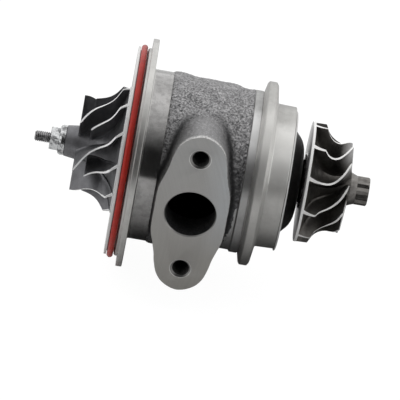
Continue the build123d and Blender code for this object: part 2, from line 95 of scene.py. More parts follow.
def soft(pts, rad=0.12, seg=3, closed=True):
    """Profile with its corners rounded. A point may carry its own radius as a third number."""
    out, n = [], len(pts)
    for i, p in enumerate(pts):
        q = np.array(p[:2], float)
        rr = p[2] if len(p) > 2 else rad
        if q[1] <= 1e-9 or rr <= 0 or (not closed and i in (0, n - 1)):
            out.append(tuple(q))
            continue
        a, b = np.array(pts[i - 1][:2], float), np.array(pts[(i + 1) % n][:2], float)
        la, lb = np.linalg.norm(a - q), np.linalg.norm(b - q)
        va, vb = (a - q) / la, (b - q) / lb
        turn = math.pi - math.acos(max(-1, min(1, float(va @ vb))))
        if turn < math.radians(9):
            out.append(tuple(q))
            continue
        d = min(rr * math.tan(turn / 2), 0.45 * la, 0.45 * lb)
        for k in range(seg + 1):
            t = k / seg
            out.append(tuple((1 - t) ** 2 * (q + va * d) + 2 * t * (1 - t) * q + t * t * (q + vb * d)))
    return out


def facing_out(v, faces):
    """Faces turned so that the closed mesh has a positive volume."""
    vol = 0.0
    for f in faces:
        a, b, c = v[f[:, 0]], v[f[:, 1]], v[f[:, 2]]
        vol += np.einsum("ij,ij->i", a, np.cross(b, c)).sum()
        if f.shape[1] == 4:
            d = v[f[:, 3]]
            vol += np.einsum("ij,ij->i", a, np.cross(c, d)).sum()
    return faces if vol > 0 else [f[:, ::-1].copy() for f in faces]


def turned(profile, seg=192, closed=True, wobble=None, axis="X", centre=(0.0, 0.0, 0.0)):
    """Body of revolution: profile of (x, r) about X, or of (distance, r) about the named axis. wobble(phi, i, x, r) may change a ring."""
    prof = np.array([p[:2] for p in profile], float)
    phi = np.linspace(0, 2 * math.pi, seg, endpoint=False)
    verts, ring = [], []
    at = 0
    for i, (x, r) in enumerate(prof):
        if r <= 1e-9:
            verts.append(np.array([[x, 0, 0]]))
            ring.append((at, 1))
            at += 1
        else:
            xx, rr = np.full(seg, x), np.full(seg, r)
            if wobble:
                xx, rr = wobble(phi, i, xx, rr)
            # the angle runs from -Y towards -Z
            verts.append(np.stack([xx, -rr * np.cos(phi), -rr * np.sin(phi)], 1))
            ring.append((at, seg))
            at += seg
    v = np.concatenate(verts)
    quads, tris = [], []
    idx = np.arange(seg)
    nxt = (idx + 1) % seg
    pairs = [(i, i + 1) for i in range(len(prof) - 1)] + ([(len(prof) - 1, 0)] if closed else [])
    for i, j in pairs:
        (a, na), (b, nb) = ring[i], ring[j]
        if na == 1 and nb == 1:
            continue
        if na == 1:
            tris.append(np.stack([np.full(seg, a), b + idx, b + nxt], 1))
        elif nb == 1:
            tris.append(np.stack([a + idx, np.full(seg, b), a + nxt], 1))
        else:
            quads.append(np.stack([a + idx, b + idx, b + nxt, a + nxt], 1))
    faces = [np.concatenate(f) for f in (quads, tris) if f]
    if axis == "Y":
        v = v[:, [1, 0, 2]]
    elif axis == "Z":
        v = v[:, [1, 2, 0]]
    v = v + np.array(centre)
    return v, facing_out(v, faces)


def mesh_of(name, v, faces):
    """Mesh from points in drawing millimetres and a list of quad and triangle arrays."""
    me = bpy.data.meshes.new(name)
    co = (np.asarray(v, float) + np.array([OX, 0, 0])) * MM
    me.vertices.add(len(co))
    me.vertices.foreach_set("co", co.astype(np.float32).ravel())
    loops = np.concatenate([f.ravel() for f in faces]).astype(np.int32)
    sizes = np.concatenate([np.full(len(f), f.shape[1]) for f in faces])
    me.loops.add(len(loops))
    me.loops.foreach_set("vertex_index", loops)
    me.polygons.add(len(sizes))
    me.polygons.foreach_set("loop_start", np.concatenate([[0], np.cumsum(sizes)[:-1]]).astype(np.int32))
    me.update(calc_edges=True)
    me.validate()
    return me


def thing(name, v, faces):
    ob = bpy.data.objects.new(name, mesh_of(name, v, faces))
    scene.collection.objects.link(ob)
    return ob


def together(parts):
    """Several (points, faces) as one."""
    vs, fs, at = [], [], 0
    for v, faces in parts:
        vs.append(v)
        fs += [f + at for f in faces]
        at += len(v)
    return np.concatenate(vs), fs


def combine(ob, other, how):
    """Boolean of two closed solids, the other is used up."""
    m = ob.modifiers.new("cut", "BOOLEAN")
    m.solver, m.operation, m.object = "MANIFOLD", how, other
    made = bpy.data.meshes.new_from_object(ob.evaluated_get(bpy.context.evaluated_depsgraph_get()))
    if not len(made.polygons):
        m.solver = "EXACT"
        bpy.context.view_layer.update()
        made = bpy.data.meshes.new_from_object(ob.evaluated_get(bpy.context.evaluated_depsgraph_get()))
    ob.modifiers.clear()
    old = ob.data
    ob.data = made
    made.name = old.name
    bpy.data.meshes.remove(old)
    gone = other.data
    bpy.data.objects.remove(other)
    bpy.data.meshes.remove(gone)
    return ob


def face_data(me):
    """Centres and normals of the faces, centres in drawing millimetres."""
    n = len(me.polygons)
    c, nm = np.empty(n * 3, np.float32), np.empty(n * 3, np.float32)
    me.polygons.foreach_get("center", c)
    me.polygons.foreach_get("normal", nm)
    return c.reshape(-1, 3) / MM - np.array([OX, 0, 0]), nm.reshape(-1, 3)


def shade(ob, angle=32.0):
    """Smooth shading with edges sharper than angle kept."""
    me = ob.data
    me.shade_smooth()
    n, ne = len(me.polygons), len(me.edges)
    nm = np.empty(n * 3, np.float32)
    me.polygons.foreach_get("normal", nm)
    nm = nm.reshape(-1, 3)
    starts, totals = np.empty(n, np.int32), np.empty(n, np.int32)
    me.polygons.foreach_get("loop_start", starts)
    me.polygons.foreach_get("loop_total", totals)
    edges = np.empty(len(me.loops), np.int32)
    me.loops.foreach_get("edge_index", edges)
    owner = np.repeat(np.arange(n), totals)
    order = np.argsort(edges, kind="stable")
    e, f = edges[order], owner[order]
    first = np.searchsorted(e, np.arange(ne))
    count = np.searchsorted(e, np.arange(ne), side="right") - first
    two = np.nonzero(count == 2)[0]
    cosine = np.einsum("ij,ij->i", nm[f[first[two]]], nm[f[first[two] + 1]])
    sharp = np.zeros(ne, bool)
    sharp[two] = cosine < math.cos(math.radians(angle))
    att = me.attributes.get("sharp_edge") or me.attributes.new("sharp_edge", "BOOLEAN", "EDGE")
    att.data.foreach_set("value", sharp)
    return ob


def dress(ob, mats, index=None):
    ob.data.materials.clear()
    for m in mats:
        ob.data.materials.append(m)
    if index is not None:
        ob.data.polygons.foreach_set("material_index", np.asarray(index, np.int32))
    return ob


def piece(ob, body, slot, *nodes):
    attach(ob, body)
    if nodes:
        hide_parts(*nodes)
    return ob


# value noise on a random lattice, always the same
LATTICE = np.random.default_rng(11).random((64, 64, 64)).astype(np.float32) * 2 - 1
TURN = np.array([[0.36, 0.48, -0.8], [-0.8, 0.6, 0.0], [0.48, 0.64, 0.6]])


def noise(p, scale, shift=0.0):
    q = (p @ TURN.T) / scale + shift
    i = np.floor(q).astype(np.int64)
    f = (q - i).astype(np.float32)
    f = f * f * (3 - 2 * f)
    i %= 64
    j = (i + 1) % 64
    out = 0.0
    for cx in (0, 1):
        wx = f[:, 0] if cx else 1 - f[:, 0]
        ix = j[:, 0] if cx else i[:, 0]
        for cy in (0, 1):
            wy = f[:, 1] if cy else 1 - f[:, 1]
            iy = j[:, 1] if cy else i[:, 1]
            for cz in (0, 1):
                wz = f[:, 2] if cz else 1 - f[:, 2]
                iz = j[:, 2] if cz else i[:, 2]
                out = out + wx * wy * wz * LATTICE[ix, iy, iz]
    return out


# ------------------------------------------------------------------ node materials
class Mat:
    """A small helper to write node materials."""

    def __init__(self, name, **sockets):
        self.mat = bpy.data.materials.new(name)
        self.mat.use_nodes = True
        self.nt = self.mat.node_tree
        self.nt.nodes.clear()
        self.out = self.nt.nodes.new("ShaderNodeOutputMaterial")
        self.b = self.nt.nodes.new("ShaderNodeBsdfPrincipled")
        self.link(self.b.outputs[0], self.out.inputs[0])
        self.coord = self.nt.nodes.new("ShaderNodeTexCoord").outputs["Object"]
        self.set(**sockets)

    def set(self, **sockets):
        for k, v in sockets.items():
            s = self.b.inputs[k.replace("_", " ")]
            if isinstance(v, bpy.types.NodeSocket):
                self.link(v, s)
            else:
                s.default_value = v

    def link(self, a, b):
        self.nt.links.new(a, b)

    def node(self, kind, **props):
        n = self.nt.nodes.new(kind)
        for k, v in props.items():
            setattr(n, k, v)
        return n

    def xyz(self, coord=None):
        n = self.node("ShaderNodeSeparateXYZ")
        self.link(coord or self.coord, n.inputs[0])
        return n.outputs

    def math(self, op, a, b=None, c=None, clamp=False):
        n = self.node("ShaderNodeMath", operation=op, use_clamp=clamp)
        for s, v in zip(n.inputs, (a, b, c)):
            if v is None:
                continue
            if isinstance(v, bpy.types.NodeSocket):
                self.link(v, s)
            else:
                s.default_value = v
        return n.outputs[0]

    def vec(self, x, y, z):
        n = self.node("ShaderNodeCombineXYZ")
        for s, v in zip(n.inputs, (x, y, z)):
            if isinstance(v, bpy.types.NodeSocket):
                self.link(v, s)
            else:
                s.default_value = v
        return n.outputs[0]

    def noise(self, scale, detail=2.0, rough=0.5, coord=None, dist=0.0):
        n = self.node("ShaderNodeTexNoise", noise_dimensions="3D")
        self.link(coord or self.coord, n.inputs["Vector"])
        n.inputs["Scale"].default_value = scale
        n.inputs["Detail"].default_value = detail
        n.inputs["Roughness"].default_value = rough
        n.inputs["Distortion"].default_value = dist
        return n.outputs["Fac"]

    def voronoi(self, scale, coord=None, feature="F1", out="Distance"):
        n = self.node("ShaderNodeTexVoronoi", feature=feature)
        self.link(coord or self.coord, n.inputs["Vector"])
        n.inputs["Scale"].default_value = scale
        return n.outputs[out]

    def ramp(self, value, stops, mode="LINEAR"):
        n = self.node("ShaderNodeValToRGB")
        n.color_ramp.interpolation = mode
        self.link(value, n.inputs[0])
        el = n.color_ramp.elements
        while len(el) < len(stops):
            el.new(0.5)
        for e, (p, c) in zip(el, stops):
            e.position = p
            e.color = (*c, 1) if isinstance(c, (tuple, list)) else (c, c, c, 1)
        return n.outputs[0]

    def map(self, value, a, b, c, d):
        n = self.node("ShaderNodeMapRange")
        self.link(value, n.inputs[0])
        for s, v in zip(n.inputs[1:5], (a, b, c, d)):
            if isinstance(v, bpy.types.NodeSocket):
                self.link(v, s)
            else:
                s.default_value = v
        return n.outputs[0]

    def mix(self, fac, a, b, mode="MIX"):
        n = self.node("ShaderNodeMix", data_type="RGBA", blend_type=mode)
        for s, v in ((n.inputs[0], fac), (n.inputs[6], a), (n.inputs[7], b)):
            if isinstance(v, bpy.types.NodeSocket):
                self.link(v, s)
            else:
                s.default_value = (*v, 1) if isinstance(v, (tuple, list)) else v
        return n.outputs[2]

    def bump(self, height, distance, strength=1.0, normal=None):
        n = self.node("ShaderNodeBump")
        n.inputs["Strength"].default_value = strength
        n.inputs["Distance"].default_value = distance
        self.link(height, n.inputs["Height"])
        if normal is not None:
            self.link(normal, n.inputs["Normal"])
        return n.outputs[0]

    def radial(self):
        """Along the shaft, radius, and angle over a turn."""
        s = self.xyz()
        r = self.math("SQRT", self.math("ADD", self.math("MULTIPLY", s[1], s[1]), self.math("MULTIPLY", s[2], s[2])))
        a = self.math("ARCTAN2", s[2], s[1])
        return s[0], r, a


def turned_metal(name, light, dark, rough, rough_vary=0.08, lines=0.6, marks=0.35, metallic=1.0, aniso=0.0, bump=0.004, cloud=0.0, pits=0.0, painted_sheen=None):
    """Steel turned on a lathe: fine lines round the axis and faint stains. cloud adds blotches, pits small dark spots,
    and the last argument, a brighter colour in a band at a fixed angle on the upper front, is a painted reflection of
    the studio light."""
    m = Mat(name, Metallic=metallic)
    x, r, a = m.radial()
    swirl = m.vec(m.math("MULTIPLY", x, 9000.0), m.math("MULTIPLY", r, 9000.0), m.math("MULTIPLY", a, 0.55))
    fine = m.noise(0.62, 3.0, 0.62, swirl)
    broad_c = m.vec(m.math("MULTIPLY", x, 1500.0), m.math("MULTIPLY", r, 1500.0), m.math("MULTIPLY", a, 0.8))
    broad = m.noise(0.5, 2.0, 0.5, broad_c)
    stain = m.noise(170.0, 4.0, 0.6)
    tone = m.math("ADD", m.math("MULTIPLY", fine, lines * 0.5), m.math("MULTIPLY", broad, lines * 0.5))
    tone = m.math("ADD", tone, m.math("MULTIPLY", stain, marks))
    tone = m.map(tone, 0.35 * (lines + marks), 0.66 * (lines + marks), 0.0, 1.0)
    col = m.mix(tone, dark, light)
    if cloud:
        blotch = m.map(m.noise(520.0, 4.0, 0.68), 0.44, 0.62, 0.0, 1.0)
        col = m.mix(m.math("MULTIPLY", blotch, cloud), col, tuple(0.62 * c for c in dark))
    if pits:
        pit = m.math("MULTIPLY", m.ramp(m.voronoi(1250.0), [(0.0, 1.0), (0.12, 0.8), (0.22, 0.0)]), m.map(m.noise(300.0, 2.0), 0.50, 0.62, 0.0, 1.0))
        col = m.mix(m.math("MULTIPLY", pit, pits), col, tuple(0.45 * c for c in dark))
    # painted reflection: a brighter band round the shaft at a fixed angle on the upper front
    if painted_sheen:
        turn = m.math("ADD", m.math("MULTIPLY", a, 0.5 / math.pi), 0.5)
        turn = m.math("ADD", turn, m.math("MULTIPLY", m.math("SUBTRACT", stain, 0.5), 0.05))
        where = [(0.0, 0.16), (0.04, 0.28), (0.14, 0.28), (0.25, 0.0), (0.77, 0.0), (0.805, 0.5), (0.845, 0.6), (0.875, 1.0), (0.915, 0.95), (0.945, 0.32), (1.0, 0.2)]
        col = m.mix(m.ramp(turn, where), col, painted_sheen)
    m.set(Base_Color=col)
    ro = m.map(m.math("ADD", m.math("MULTIPLY", fine, 0.5), m.math("MULTIPLY", stain, 0.5)), 0.3, 0.7, rough - rough_vary, rough + rough_vary)
    m.set(Roughness=ro)
    m.set(Normal=m.bump(fine, bump * MM))
    if aniso:
        # lines round the axis draw the reflections out along it
        t = m.node("ShaderNodeTangent", direction_type="RADIAL", axis="X")
        m.link(t.outputs[0], m.b.inputs["Tangent"])
        m.set(Anisotropic=aniso, Anisotropic_Rotation=0.25)
    return m.mat


def cast_metal(name, light, dark, rough=0.5, grain=1500.0, bump=0.09, metallic=0.85, skin=False):
    """Sand cast skin: clustered light and dark grains. skin adds the outside of the housing: coarser grain lower down,
    a smoother pedestal, painted shade below and in the hollows, and painted highlights along the milled face's edge.
    """
    m = Mat(name, Metallic=metallic)
    n1 = m.noise(grain, 2.0, 0.6)
    n2 = m.noise(grain * 2.1, 1.0, 0.5)
    v = m.voronoi(grain * 0.9)
    big = m.noise(240.0, 3.0, 0.6)
    g = m.math("ADD", m.math("MULTIPLY", n1, 0.65), m.math("MULTIPLY", n2, 0.35))
    mid = tuple((a + b) / 2 for a, b in zip(light, dark))
    col = m.ramp(m.math("ADD", g, m.math("MULTIPLY", m.math("SUBTRACT", big, 0.5), 0.2)), [(0.36, dark), (0.52, mid), (0.64, light)])
    h = m.math("ADD", g, m.math("MULTIPLY", v, -0.35))
    high = m.bump(h, bump * MM)
    if skin:
        x, r, a = m.radial()
        y, z = m.xyz()[1], m.xyz()[2]
        # coarser grain further down the barrel, and the lower barrel darker by height: painted shade
        coarse = m.noise(1150.0, 2.0, 0.55)
        down = m.map(z, 0.0262, 0.013, 0.1, 1.0)
        col = m.mix(m.map(z, 0.0175, 0.004, 0.0, 0.55), col, tuple(0.9 * c for c in dark))
        col = m.mix(m.math("MULTIPLY", down, m.map(coarse, 0.47, 0.36, 0.0, 0.8)), col, tuple(0.5 * c for c in dark))
        col = m.mix(m.math("MULTIPLY", down, m.map(coarse, 0.54, 0.66, 0.0, 0.7)), col, tuple(1.25 * c for c in light))
        # the drain pedestal is smoother than the barrel
        calm = m.math("MULTIPLY", m.map(r, 0.0272, 0.0286, 0.0, 1.0), m.map(y, -0.010, -0.014, 0.0, 1.0))
        col = m.mix(m.math("MULTIPLY", calm, 0.55), col, tuple(0.92 * c for c in mid))
        # painted shade: the hollows round it darkened to near black
        hollow = m.node("ShaderNodeAttribute", attribute_name="hollow").outputs["Fac"]
        col = m.mix(m.math("MULTIPLY", hollow, 0.95), col, (0.022, 0.022, 0.023))
        # painted shade: a dark line along the skin's edge next to the machined land on the compressor side
        seam_shade = m.map(x, (-11.95 + OX) * MM, (-11.6 + OX) * MM, 0.62, 0.0)
        col = m.mix(seam_shade, col, (0.035, 0.035, 0.036))
        # painted shade: darker on the lower front of the body, on the turbine side of the drain pedestal
        low = m.math("MULTIPLY", m.map(x, (3.0 + OX) * MM, (8.5 + OX) * MM, 0.0, 0.5), m.math("MULTIPLY", m.map(m.xyz()[2], 0.017, 0.006, 0.0, 1.0), m.map(y, -0.010, -0.016, 0.0, 1.0)))
        col = m.mix(low, col, (0.05, 0.05, 0.052))
        # painted highlight: the broken edge of the milled face and the crown above it are painted bright here and
        # there, for glints along the edge
        edge_glint = m.math("MULTIPLY", m.map(y, -0.0304, -0.0307, 0.0, 0.55), m.map(n1, 0.42, 0.54, 0.1, 1.0))
        crown = m.math("MULTIPLY", m.map(y, -0.0288, -0.0303, 0.0, 1.0), m.map(z, 0.0185, 0.0235, 0.0, 1.0))
        edge_glint = m.math("MAXIMUM", edge_glint, m.math("MULTIPLY", crown, m.map(n1, 0.38, 0.56, 0.25, 0.95)))
        col = m.mix(edge_glint, col, (0.62, 0.615, 0.605))
    m.set(Base_Color=col, Roughness=m.map(n2, 0.3, 0.7, rough - 0.1, rough + 0.14))
    m.set(Normal=high)
    return m.mat


def milled_metal(name):
    """Machined face of the drain flange: smooth satin grey, faint milling arcs, slight brown stains."""
    m = Mat(name, Metallic=0.9)
    s = m.xyz()
    arc_r = m.math("SQRT", m.math("ADD", m.math("POWER", m.math("SUBTRACT", s[0], -0.045), 2.0), m.math("POWER", m.math("ADD", s[2], 0.012), 2.0)))
    arcs = m.noise(1.0, 2.0, 0.5, m.vec(m.math("MULTIPLY", arc_r, 1700.0), m.math("MULTIPLY", s[2], 18.0), 0.0))
    stain = m.noise(95.0, 4.0, 0.6)
    tiny = m.noise(3200.0, 2.0, 0.5)
    low = m.map(s[2], -0.03, 0.022, 1.0, 0.0)
    cool, warm = (0.40, 0.40, 0.395), (0.43, 0.412, 0.380)
    col = m.mix(m.math("MULTIPLY", low, 0.85), cool, warm)
    col = m.mix(m.math("MULTIPLY", m.map(s[0], 0.0215, 0.0285, 0.0, 0.85), m.map(s[2], -0.014, 0.002, 0.0, 1.0)), col, (0.49, 0.51, 0.525))
    col = m.mix(m.map(stain, 0.35, 0.7, 0.0, 0.30), col, (0.50, 0.495, 0.485))
    col = m.mix(m.map(arcs, 0.35, 0.65, 0.0, 0.14), col, (0.28, 0.275, 0.27))
    col = m.mix(m.map(tiny, 0.5, 0.75, 0.0, 0.2), col, (0.22, 0.21, 0.20))
    m.set(Base_Color=col, Roughness=m.map(stain, 0.3, 0.7, 0.42, 0.54))
    m.set(Normal=m.bump(m.math("ADD", arcs, m.math("MULTIPLY", tiny, 0.4)), 0.004 * MM))
    return m.mat


def rubber(name, light, dark, rough=0.45):
    m = Mat(name, Metallic=0.0)
    n = m.noise(420.0, 4.0, 0.6)
    f = m.noise(3800.0, 2.0, 0.6)
    dust = m.voronoi(700.0)
    col = m.mix(m.map(n, 0.3, 0.7, 0.0, 1.0), dark, light)
    col = m.mix(m.ramp(dust, [(0.0, 0.55), (0.07, 0.0)]), col, (0.75, 0.5, 0.46))
    lump = m.noise(1300.0, 2.0, 0.5)
    m.set(Base_Color=col, Roughness=m.map(f, 0.3, 0.7, rough - 0.08, rough + 0.1), Normal=m.bump(f, 0.006 * MM, 1.0, m.bump(lump, 0.05 * MM)))
    m.set(Coat_Weight=0.0)
    return m.mat


def plated_metal(name, light, dark, rough):
    """Plated steel: cloudy plating, dark in patches, with soft dents that break up the reflections."""
    m = Mat(name, Metallic=1.0)
    patch = m.noise(760.0, 3.0, 0.6)
    fine = m.noise(3600.0, 2.0, 0.6)
    dent = m.noise(620.0, 1.5, 0.5)
    col = m.mix(m.map(patch, 0.47, 0.59, 0.0, 0.85), light, dark)
    col = m.mix(m.map(fine, 0.45, 0.75, 0.0, 0.35), col, tuple(0.5 * c for c in dark))
    m.set(Base_Color=col, Roughness=m.map(fine, 0.3, 0.7, rough - 0.06, rough + 0.1))
    m.set(Normal=m.bump(fine, 0.006 * MM, 1.0, m.bump(dent, 0.16 * MM)))
    return m.mat


def wheel_cast(name, light, dark, rough, grain=2600.0, bump=0.012, metallic=0.95, passage_shade=None, outlet_light=None):
    """Investment cast blades and passages: fine skin. The depth option, when given, paints shade in the passages,
    darker towards the hub; the outlet option paints a light patch on the blades near the hub at the exit.
    """
    m = Mat(name, Metallic=metallic)
    x, r, a = m.radial()
    n = m.noise(grain, 3.0, 0.6)
    flow = m.noise(420.0, 3.0, 0.6)
    col = m.mix(m.map(flow, 0.3, 0.7, 0.0, 1.0), dark, light)
    # painted shade: the passages darker towards the hub
    if passage_shade:
        r0, r1, deep = passage_shade
        col = m.mix(m.map(r, r0 * MM, r1 * MM, 0.75, 0.0), col, deep)
    # painted light: a lighter patch on the blades near the hub at the exit
    if outlet_light:
        x0, x1, bright = outlet_light
        col = m.mix(m.math("MULTIPLY", m.map(x, (x0 + OX) * MM, (x1 + OX) * MM, 0.0, 1.0), m.map(r, 8.0 * MM, 12.5 * MM, 0.0, 1.0)), col, bright)
    col = m.mix(m.map(n, 0.55, 0.8, 0.0, 0.35), col, tuple(0.5 * c for c in dark))
    m.set(Base_Color=col, Roughness=m.map(n, 0.3, 0.7, rough - 0.07, rough + 0.1))
    m.set(Normal=m.bump(m.math("ADD", n, m.math("MULTIPLY", flow, 0.8)), bump * MM))
    return m.mat


STEEL = turned_metal("steel_turned_land", (0.38, 0.375, 0.37), (0.30, 0.295, 0.29), 0.20, 0.04, bump=0.003, aniso=0.75, cloud=0.5, pits=0.55)
# the brighter band colour given to SATIN, RIM and NECK is a painted reflection on the upper front
SATIN = turned_metal("steel_turned_satin", (0.52, 0.515, 0.50), (0.43, 0.425, 0.41), 0.53, 0.05, bump=0.005, aniso=0.75, cloud=0.22, painted_sheen=(0.86, 0.855, 0.835))
RIM = turned_metal("steel_turned_flange", (0.51, 0.505, 0.49), (0.40, 0.395, 0.38), 0.51, 0.06, bump=0.007, aniso=0.75, cloud=0.22, painted_sheen=(0.68, 0.675, 0.655))
FLANGE = turned_metal("steel_turned_front_flange", (0.55, 0.545, 0.53), (0.445, 0.44, 0.425), 0.37, 0.06, bump=0.007, aniso=0.45, cloud=0.2)
LIP = turned_metal("steel_turned_lip", (0.74, 0.74, 0.73), (0.62, 0.62, 0.61), 0.45, 0.06, metallic=0.35, bump=0.006)
NECK = turned_metal("steel_turned_neck", (0.42, 0.42, 0.415), (0.30, 0.30, 0.295), 0.43, 0.08, marks=0.6, bump=0.008, aniso=0.65, cloud=0.3, painted_sheen=(0.72, 0.72, 0.72))
CAST = cast_metal("iron_sand_cast", (0.47, 0.465, 0.47), (0.055, 0.055, 0.057), grain=1600.0, bump=0.06, skin=True)
MILLED = milled_metal("iron_milled_face")
BORE = cast_metal("iron_bore_wall", (0.16, 0.16, 0.165), (0.05, 0.05, 0.052), rough=0.5, grain=1800.0, bump=0.02)
# painted shade: the countersunk mouths of the holes take this darker cut-metal colour
EDGE = turned_metal("iron_cut_edge", (0.30, 0.295, 0.29), (0.21, 0.205, 0.20), 0.34, 0.06, bump=0.006)
# painted highlight: the thin outer edge of the tapped holes' mouths painted near white
CUT_GLINT = turned_metal("iron_cut_glint", (0.80, 0.795, 0.78), (0.62, 0.615, 0.60), 0.38, 0.06, metallic=0.4, bump=0.004)
INNER = cast_metal("iron_inside", (0.06, 0.059, 0.057), (0.02, 0.02, 0.02), rough=0.6, grain=1500.0, bump=0.03)
RED = rubber("rubber_brick_red", (0.47, 0.026, 0.015), (0.34, 0.015, 0.009), 0.34)
RED.node_tree.nodes["Principled BSDF"].inputs["Specular IOR Level"].default_value = 0.28
BLACK = rubber("rubber_black", (0.03, 0.03, 0.03), (0.015, 0.015, 0.015), 0.5)
ALLOY_PLATE = turned_metal("alloy_turned_plate", (0.66, 0.66, 0.67), (0.52, 0.52, 0.53), 0.34, 0.08, bump=0.008, aniso=0.3)
SPRING = turned_metal("spring_steel_dark", (0.20, 0.20, 0.21), (0.11, 0.11, 0.115), 0.38, 0.08)
SHEET = turned_metal("sheet_steel_plain", (0.50, 0.50, 0.50), (0.40, 0.40, 0.40), 0.35, 0.08)
BRONZE = turned_metal("bronze_turned", (0.70, 0.42, 0.17), (0.55, 0.31, 0.11), 0.30, 0.07)
SHAFT = turned_metal("shaft_ground_steel", (0.68, 0.68, 0.68), (0.56, 0.56, 0.56), 0.20, 0.05, bump=0.003)
RING = turned_metal("ring_iron_grey", (0.34, 0.34, 0.35), (0.24, 0.24, 0.25), 0.32, 0.06)
ZINC = plated_metal("zinc_plated_steel", (0.64, 0.65, 0.655), (0.12, 0.12, 0.125), 0.22)
THREAD = plated_metal("thread_steel", (0.40, 0.395, 0.40), (0.13, 0.13, 0.135), 0.30)
SHIELD = wheel_cast("shield_oxidised", (0.026, 0.024, 0.023), (0.012, 0.011, 0.011), 0.42, grain=1500.0, metallic=0.6)
SHIELD_RIM = turned_metal("shield_bright_rim", (0.72, 0.72, 0.71), (0.60, 0.60, 0.59), 0.42, 0.07, metallic=0.5, bump=0.005)
ALLOY = wheel_cast("alloy_cast_blades", (0.205, 0.205, 0.215), (0.145, 0.145, 0.152), 0.44, metallic=0.86)
# the cut tips are near white and hardly metallic: bare cut metal, with a painted highlight of the lamp along the edges
ALLOY_CUT = turned_metal("alloy_turned_tip", (0.99, 0.99, 0.99), (0.95, 0.95, 0.955), 0.40, 0.07, metallic=0.05, bump=0.004)
# HEAT carries the painted light patch at the exit
HEAT = wheel_cast("heat_alloy_cast", (0.15, 0.143, 0.134), (0.085, 0.080, 0.074), 0.40, outlet_light=(43.8, 47.6, (0.46, 0.455, 0.45)))
# the same near-white cut tip, with its painted highlight, on the turbine
HEAT_CUT = turned_metal("heat_alloy_ground_tip", (0.97, 0.965, 0.955), (0.90, 0.895, 0.88), 0.38, 0.07, metallic=0.08, bump=0.004)
HEAT_NOSE = wheel_cast("heat_alloy_nose", (0.235, 0.226, 0.215), (0.135, 0.128, 0.12), 0.34, grain=1600.0, bump=0.03)
HEAT_BACK = turned_metal("heat_alloy_turned_back", (0.88, 0.88, 0.875), (0.78, 0.78, 0.775), 0.38, 0.07, metallic=0.6, bump=0.006)


# ------------------------------------------------------------------ cast middle of the housing
def outline_distance(loop, x, z):
    """Signed distance in the plane to a closed outline, negative inside."""
    a = np.asarray(loop, float)
    b = np.roll(a, -1, 0)
    px, pz = np.meshgrid(x, z, indexing="ij")
    p = np.stack([px.ravel(), pz.ravel()], 1)
    best = np.full(len(p), 1e9)
    inside = np.zeros(len(p), bool)
    for (ax, az), (bx, bz) in zip(a, b):
        ex, ez = bx - ax, bz - az
        wx, wz = p[:, 0] - ax, p[:, 1] - az
        t = np.clip((wx * ex + wz * ez) / (ex * ex + ez * ez + 1e-12), 0, 1)
        dx, dz = wx - t * ex, wz - t * ez
        best = np.minimum(best, dx * dx + dz * dz)
        cross = (az > p[:, 1]) != (bz > p[:, 1])
        with np.errstate(divide="ignore", invalid="ignore"):
            side = p[:, 0] < (bx - ax) * (p[:, 1] - az) / (bz - az + 1e-15) + ax
        inside ^= cross & side
    d = np.sqrt(best)
    return np.where(inside, -d, d).reshape(len(x), len(z)).astype(np.float32)


def closed_curve(pts, n=220):
    """Smooth closed loop through points."""
    p = np.asarray(pts, float)
    k = len(p)
    out = []
    per = max(2, n // k)
    for i in range(k):
        p0, p1, p2, p3 = p[i - 1], p[i], p[(i + 1) % k], p[(i + 2) % k]
        for t in np.arange(per) / per:
            out.append(0.5 * (2 * p1 + (p2 - p0) * t + (2 * p0 - 5 * p1 + 4 * p2 - p3) * t * t + (3 * p1 - p0 - 3 * p2 + p3) * t**3))
    return np.array(out)


def diamond(table, end_z, grow=0.0):
    right = [(w + grow, z) for z, w in table]
    loop = right + [(0.0, end_z + grow)] + [(-w, z) for w, z in reversed(right)]
    loop += [(-w, -z) for w, z in right[1:]] + [(0.0, -end_z - grow)] + [(w, -z) for w, z in reversed(right[1:])]
    return loop


FLANGE_FACE = [(0.0, 11.45), (5.0, 11.45), (8.5, 11.15), (12.0, 10.15), (15.5, 9.2), (19.5, 8.45), (23.0, 7.35), (25.6, 5.55), (27.4, 2.9)]
FLANGE_ROOT = [(0.0, 10.8), (5.0, 10.7), (8.0, 10.3), (11.0, 9.5), (14.0, 8.6), (17.0, 7.9), (19.7, 6.8), (21.8, 5.2), (23.2, 2.9)]
DRAIN_Y = -30.95


def smooth_min(a, b, k):
    h = np.clip(0.5 + 0.5 * (b - a) / k, 0, 1)
    return b + (a - b) * h - k * h * (1 - h)


